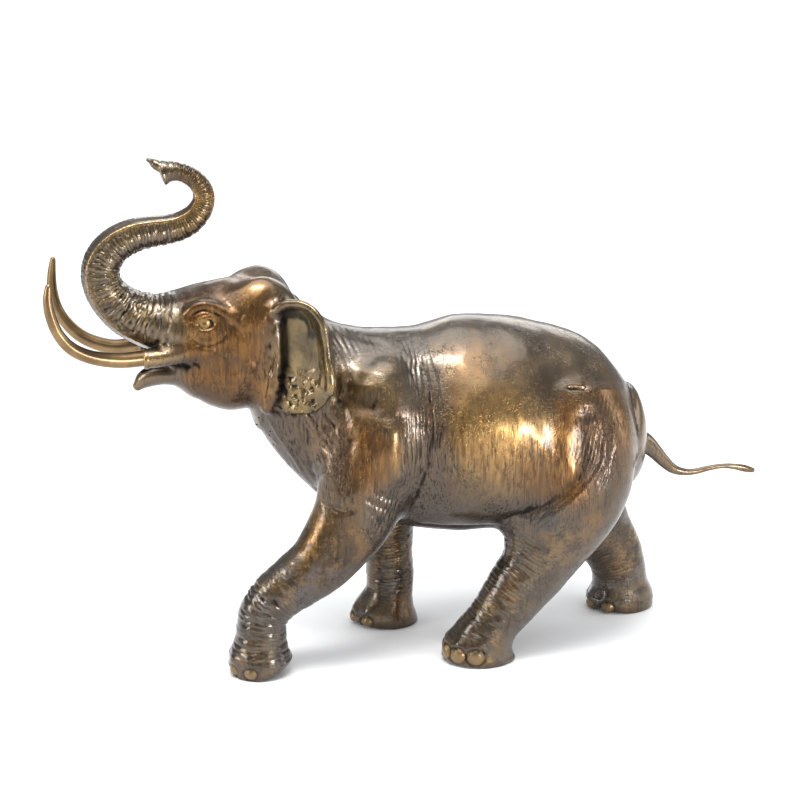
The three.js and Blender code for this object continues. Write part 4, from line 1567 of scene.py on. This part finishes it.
def noises_of(bench, mark):
    """Smooth noises, each about 0.5, from clouds 80 mm across to streaks 3 mm across."""
    place = bench.place()
    streak = bench.noise(bench.stretch(place, (300, 300, 38)), 1.0, detail=3.0, distortion=0.4)
    return SimpleNamespace(
        place=place,
        curved=bench.warp(place, 14.0, 0.03),
        cloud=bench.noise(place, 12.0, detail=3.0),
        patch=bench.noise(bench.stretch(place, (24, 24, 15)), 1.0, detail=2.0),
        stain=bench.noise(place, 21.0, detail=4.0, roughness=0.6),
        mottle=bench.noise(place, 36.0, detail=4.0, roughness=0.62),
        tuft=bench.noise(bench.stretch(place, (46, 46, 26)), 1.0, detail=2.0).ramp(0.40, 0.62),
        cloth=bench.noise(place, 75.0, detail=2.0, roughness=0.6),
        streak=(streak - 0.5) * (1 - mark.top * 0.9) + 0.5)


# %% [markdown]
# Fine chased strokes run mostly up and down the hide and lean with the gathers. With the hair-fine
# wrinkles and the grooves between the rings, they are far smaller than the mesh's faces, so they
# are drawn from stretched noise. They and a faint grain are the only detail left to bump.

# %% Strokes, wrinkles and grooves
def chased_strokes(bench, mark, noise):
    """Thin dark strokes: upright, leaning forward or back by the mark, and across the top."""
    def strokes(scale, turn, high):
        drawn_out = bench.stretch(noise.curved, scale, turn)
        drawn = bench.noise(drawn_out, 1.0, detail=1.0, distortion=0.2)
        return drawn.ramp(0.55, high)
    hair = (strokes((640, 640, 22), (0, 0, 0), 0.68) * (1 - mark.lean * mark.lean)
            + strokes((640, 640, 26), (0, -0.55, 0), 0.68) * mark.lean.ramp(0.0, 1.0)
            + strokes((640, 640, 26), (0, 0.55, 0), 0.68) * mark.lean.ramp(0.0, -1.0))
    hair = hair * (1 - mark.top) + strokes((60, 560, 560), (0, 0.3, 0), 0.66) * mark.top * 0.35
    hair = hair * (0.12 + noise.tuft * 0.35 + mark.gathered * 0.6)
    return hair * (1 - mark.iris) * (1 - mark.ringed * 0.8) * (1 - mark.ear * 0.7)


def hair_wrinkles(bench, mark, noise):
    """Level wandering lines on the legs, and loose ones in tufts above."""
    level = bench.noise(bench.stretch(noise.curved, (70, 70, 190)), 1.0, detail=3.0, roughness=0.6)
    slanting = bench.stretch(noise.curved, (130, 130, 60), (0.5, 0.4, 0))
    loose = bench.noise(slanting, 1.0, detail=3.0, roughness=0.6)
    wrinkle = (bench.thread(level, 0.032) * mark.lower * (0.35 + noise.tuft * 0.65)
               + bench.thread(loose, 0.020) * (1 - mark.lower) * noise.tuft * 0.55)
    wrinkle = wrinkle * (1 - mark.iris) * (1 - mark.nail)
    return wrinkle * (1 - mark.ringed * (1 - mark.lower)) * (1 - mark.ear * 0.5)


def ring_grooves(bench, mark, noise):
    """A cosine wave of the ring count, moved about and broken up by noise."""
    shift = (bench.noise(bench.stretch(noise.place, (60, 110, 60)), 1.0) - 0.5) * 1.4
    angle = (mark.ring_turns + shift) * (2 * math.pi)
    wave = bench.node("ShaderNodeMath", {"operation": "COSINE"}, {0: angle})
    broken = bench.noise(noise.place, 95.0, detail=2.0).ramp(0.35, 0.6)
    return (wave * 0.5 + 0.5).ramp(0.40, 1.0) * mark.ringed * (0.35 + broken * 0.65)


# %% [markdown]
# The colour is laid on in thin coats, as the patina is, and a few of them are painted light. Each coat
# has a mask that says how much of it shows, and covers what is under it: warm browns first, then the
# rubbed gold, the stains of the legs, a grey sky sheen painted on the upper side and shade painted on
# the underside, the darkness in the hollows, shade painted nearly black into the deepest gaps, and
# last the nails and the eyes.

# %% Coats of colour
BROWNS = ((0.078, 0.052, 0.027), (0.146, 0.097, 0.045))
EAR_GOLDS = ((0.080, 0.054, 0.017), (0.190, 0.128, 0.040))


def coats_of_colour(bench, mark, noise, masks):
    """Each row is a mask, a colour for it, and what part of the metal the coat belongs to, or which light or
    shade it paints.
    """
    upper = 1 - mark.lower
    warm = (mark.warmth * 0.9 + (noise.patch - 0.5) * 1.6).ramp(0.1, 1.0) * 0.9
    warm = warm * (1 - mark.ringed * upper * 0.8)
    warm_streak = mark.warmth * (noise.streak * 0.5 + noise.stain * 0.5).ramp(0.47, 0.58) * 0.5
    dark_streak = mark.warmth * noise.streak.ramp(0.48, 0.38) * (0.2 + noise.tuft * 0.45)
    coats = (
        (warm, (0.150, 0.062, 0.012), "orange brown"),
        (warm_streak, (0.270, 0.118, 0.022), "orange streaks"),
        (mark.ringed * upper * (0.25 + noise.mottle.ramp(0.4, 0.6) * 0.5), (0.215, 0.140, 0.055), "trunk"),
        (masks.gold, (0.410, 0.248, 0.090), "rubbed gold"),
        (mark.lower * noise.stain.ramp(0.47, 0.62) * 0.7, (0.225, 0.110, 0.028), "orange stains of the legs"),
        (mark.lower * 0.3, (0.068, 0.045, 0.024), "legs"),
        ((mark.lower * 0.6 + 0.2) * noise.mottle.ramp(0.56, 0.42), (0.042, 0.028, 0.016), "dark mottle"),
        (mark.lower * noise.stain.ramp(0.44, 0.36) * 0.6, (0.115, 0.100, 0.095), "grey stains of the legs"),
        # painted reflection: a grey sky sheen laid on the upward-facing skin
        (mark.skyward.ramp(0.3, 1.0) * 0.38, (0.185, 0.168, 0.150), "sky sheen painted on top"),
        (mark.gathered.ramp(0.3, 1.0) * 0.5, (0.080, 0.073, 0.069), "gathers"),
        # painted shade: darker brown on the downward-facing skin
        (mark.skyward.ramp(0.12, -0.55) * 0.75, (0.052, 0.034, 0.022), "shade painted underneath"),
        (dark_streak, (0.040, 0.018, 0.008), "dark streaks"),
        (mark.ear * 0.7, bench.blend(noise.mottle.ramp(0.40, 0.60), *EAR_GOLDS), "ears"),
        (masks.dark * 0.92, (0.010, 0.008, 0.007), "hollows"),
        (masks.hair * 0.8, (0.018, 0.013, 0.011), "chased strokes"),
        (masks.wrinkle * 0.8, (0.016, 0.011, 0.009), "wrinkles"),
        (masks.groove * 0.85, (0.012, 0.009, 0.008), "grooves"),
        # painted shade: almost black over the gaps, the cuts and the deepest hollows
        (mark.gloom * 0.9, (0.005, 0.004, 0.003), "shade painted in the deepest gaps"),
        (mark.nail * (0.75 + noise.mottle.ramp(0.4, 0.6) * 0.25), (0.210, 0.130, 0.045), "nails"),
        (mark.iris, (0.24, 0.145, 0.050), "iris"),
        (mark.pupil * 0.8, (0.03, 0.02, 0.012), "pupil"))
    colour = bench.blend(noise.cloud.ramp(0.3, 0.7), *BROWNS)
    for mask, coat, _ in coats:
        colour = bench.blend(mask, colour, coat)
    print(len(coats), "coats:", ", ".join(part for _, _, part in coats))
    return colour


# %% [markdown]
# The masks of gold and dark decide between shining and dull metal, so they are worked out once
# and also drive how rough the surface is and how much lacquer is left on it.

# %% Patina
def patinated_bronze():
    """Gold is a ramp of the rubbed mark plus noises less the creases; dark is a ramp of creases and
    shelter. Roughness and lacquer are sums and products of the same masks."""
    bench = Bench("patinated_bronze")
    mark = marks_of(bench)
    noise = noises_of(bench, mark)
    grain = noise.cloth - 0.5
    rub = (mark.gilt * 0.8 + mark.bulge * 0.14 + (noise.cloud - 0.5) * 1.1 + grain * 0.2
           + (noise.streak - 0.5) * (0.3 + mark.warmth * 1.1) - mark.crease * 0.45)
    gold = rub.ramp(0.0, 1.0)
    dark = (mark.crease * 1.6 + mark.shelter * 1.3 - 0.42 + grain * 0.6
            + (0.5 - noise.streak) * (0.6 + mark.warmth * 1.2)).ramp(0.0, 1.0)
    hair = chased_strokes(bench, mark, noise)
    wrinkle = hair_wrinkles(bench, mark, noise)
    groove = ring_grooves(bench, mark, noise)
    masks = SimpleNamespace(gold=gold, dark=dark, hair=hair, wrinkle=wrinkle, groove=groove)

    roughness = 0.30 + mark.nail * 0.14 - gold * 0.06 + dark * 0.25 + mark.gloom * 0.35 + grain * 0.15
    height = (noise.cloth * 0.15 + noise.streak * 0.2 + noise.mottle * 0.5
              - hair * 0.9 - wrinkle * 0.8 - groove * 0.9)
    bump = bench.node("ShaderNodeBump", {}, {"Height": height, "Strength": 0.7, "Distance": 0.0008})
    lacquer = (0.65 * (1 - dark * 0.85) * (1 - hair * 0.8) * (1 - mark.gloom) * (1 - mark.warmth * 0.75)
               * (1 - mark.gathered * 0.35))
    return bench.finish(**{
        "Base Color": coats_of_colour(bench, mark, noise, masks), "Metallic": 0.92, "Roughness": roughness,
        "Normal": bump, "Coat Weight": lacquer, "Coat Roughness": 0.17, "Coat IOR": 1.7})


patina = patinated_bronze()
skin.materials.append(patina)
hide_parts("elephant")
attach(elephant, "root")
print("patina:", len(patina.node_tree.nodes), "nodes")

# %% [markdown]
# ## Tusks
# The tusks are separate polished castings pushed into their sheaths. They carry no folds, so a grid
# is simpler than a field: an oval carried along a rising curve and drawn down to a blunt point.

# %% Carried oval
def resampled(table, at):
    """Rows of a table read at places between them, column by column."""
    columns = table.reshape(len(table), -1).T
    return np.stack([np.interp(at, np.arange(len(table)), column) for column in columns], 1)


def carried_oval(stations, along, around):
    """Grid of points: ring i of the path, angle a, at centre + cos a * width + sin a * depth. The
    tip is closed by rings that shrink as a quarter circle, and the root by a flat disc."""
    form = BentForm(stations)
    s = np.linspace(0, form.count - 1, along)
    centre, side, ahead = (resampled(table, s) for table in (form.centre, form.side, form.along))
    wide, deep = (resampled(table, s)[:, 0] for table in (form.wide, form.deep))
    bend = np.linspace(0, np.pi / 2, 7)[1:-1]
    centre = np.vstack([centre, centre[-1] + np.sin(bend)[:, None] * ahead[-1] * wide[-1] * 1.5])
    shrink = np.concatenate([np.ones(along), np.cos(bend)])
    pad = np.minimum(np.arange(along + len(bend)), along - 1)
    side, ahead = side[pad], ahead[pad]
    up = np.cross(ahead, side)
    wide, deep = wide[pad] * shrink, deep[pad] * shrink
    a = np.linspace(0, 2 * np.pi, around, endpoint=False)
    ring = (centre[:, None] + (wide[:, None] * np.cos(a))[..., None] * side[:, None]
            + (deep[:, None] * np.sin(a))[..., None] * up[:, None])
    root, tip = centre[0], centre[-1] + ahead[-1] * wide[0] * 0.04
    return np.vstack([root[None], ring.reshape(-1, 3), tip[None]]), len(centre)


def ring_faces(rows, around):
    """Triangles between neighbouring rings, and fans to the two poles, facing outwards."""
    r, k = np.meshgrid(np.arange(rows - 1), np.arange(around), indexing="ij")
    here, beside = 1 + r * around + k, 1 + r * around + (k + 1) % around
    body = np.stack([here, beside, beside + around, here, beside + around, here + around], -1)
    k = np.arange(around)
    first = np.stack([0 * k, 1 + (k + 1) % around, 1 + k], 1)
    top = 1 + (rows - 1) * around
    last = np.stack([0 * k + top + around, top + k, top + (k + 1) % around], 1)
    return np.vstack([body.reshape(-1, 3), first, last])


print("faces of two rings of six:", len(ring_faces(2, 6)))


# %% [markdown]
# The same bronze is polished here and toned brown in clouds, with fine scratches along it. It is
# smoother than the casting, and its lacquer is thinner.

# %% Polished bronze
def polished_bronze():
    bench = Bench("polished_bronze")
    place = bench.place()
    cloud = bench.noise(place, 22.0, detail=3.0)
    fine = bench.noise(bench.stretch(place, (240, 500, 500)), 1.0, detail=3.0)
    colour = bench.blend(cloud.ramp(0.35, 0.7), (0.150, 0.093, 0.042), (0.30, 0.195, 0.088))
    colour = bench.blend(fine.ramp(0.62, 0.75) * 0.3, colour, (0.11, 0.062, 0.028))
    bump = bench.node("ShaderNodeBump", {}, {"Height": fine, "Strength": 0.12, "Distance": 0.0004})
    return bench.finish(**{"Base Color": colour, "Metallic": 0.95, "Roughness": 0.32 + (cloud - 0.5) * 0.14,
                       "Normal": bump, "Coat Weight": 0.35, "Coat Roughness": 0.2})


polish = polished_bronze()
print("polish:", len(polish.node_tree.nodes), "nodes")


# %% [markdown]
# The volume of each tusk is worked out from its faces. It comes out positive only if they all point
# outwards, so it is printed as a check.

# %% Tusks
TUSK_RINGS, TUSK_SIDES = 90, 40

for node, stations in (("tusk_left", TUSK_LEFT), ("tusk_right", TUSK_RIGHT)):
    ring_points, rows = carried_oval(stations, TUSK_RINGS, TUSK_SIDES)
    mesh = closed_mesh(node + "_cast", ring_points, ring_faces(rows, TUSK_SIDES))
    mesh.polygons.foreach_set("use_smooth", np.ones(len(mesh.polygons), bool))
    mesh.materials.append(polish)
    tusk = placed(node + "_cast", mesh)
    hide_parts(node)
    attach(tusk, "root")
    volume = sum(f.area * f.center.dot(f.normal) for f in mesh.polygons) / 3 * 1e9
    print(node, "volume", round(volume), "cubic mm")

# %% [markdown]
# ## Sizes and finish
# The box of the finished pieces, in metres, is printed with the time taken.

# %% Sizes and finish
bpy.context.view_layer.update()
low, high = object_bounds()
print("visual", [round(v, 4) for v in (*low, *high)], f"{time.time() - started:.0f} s")
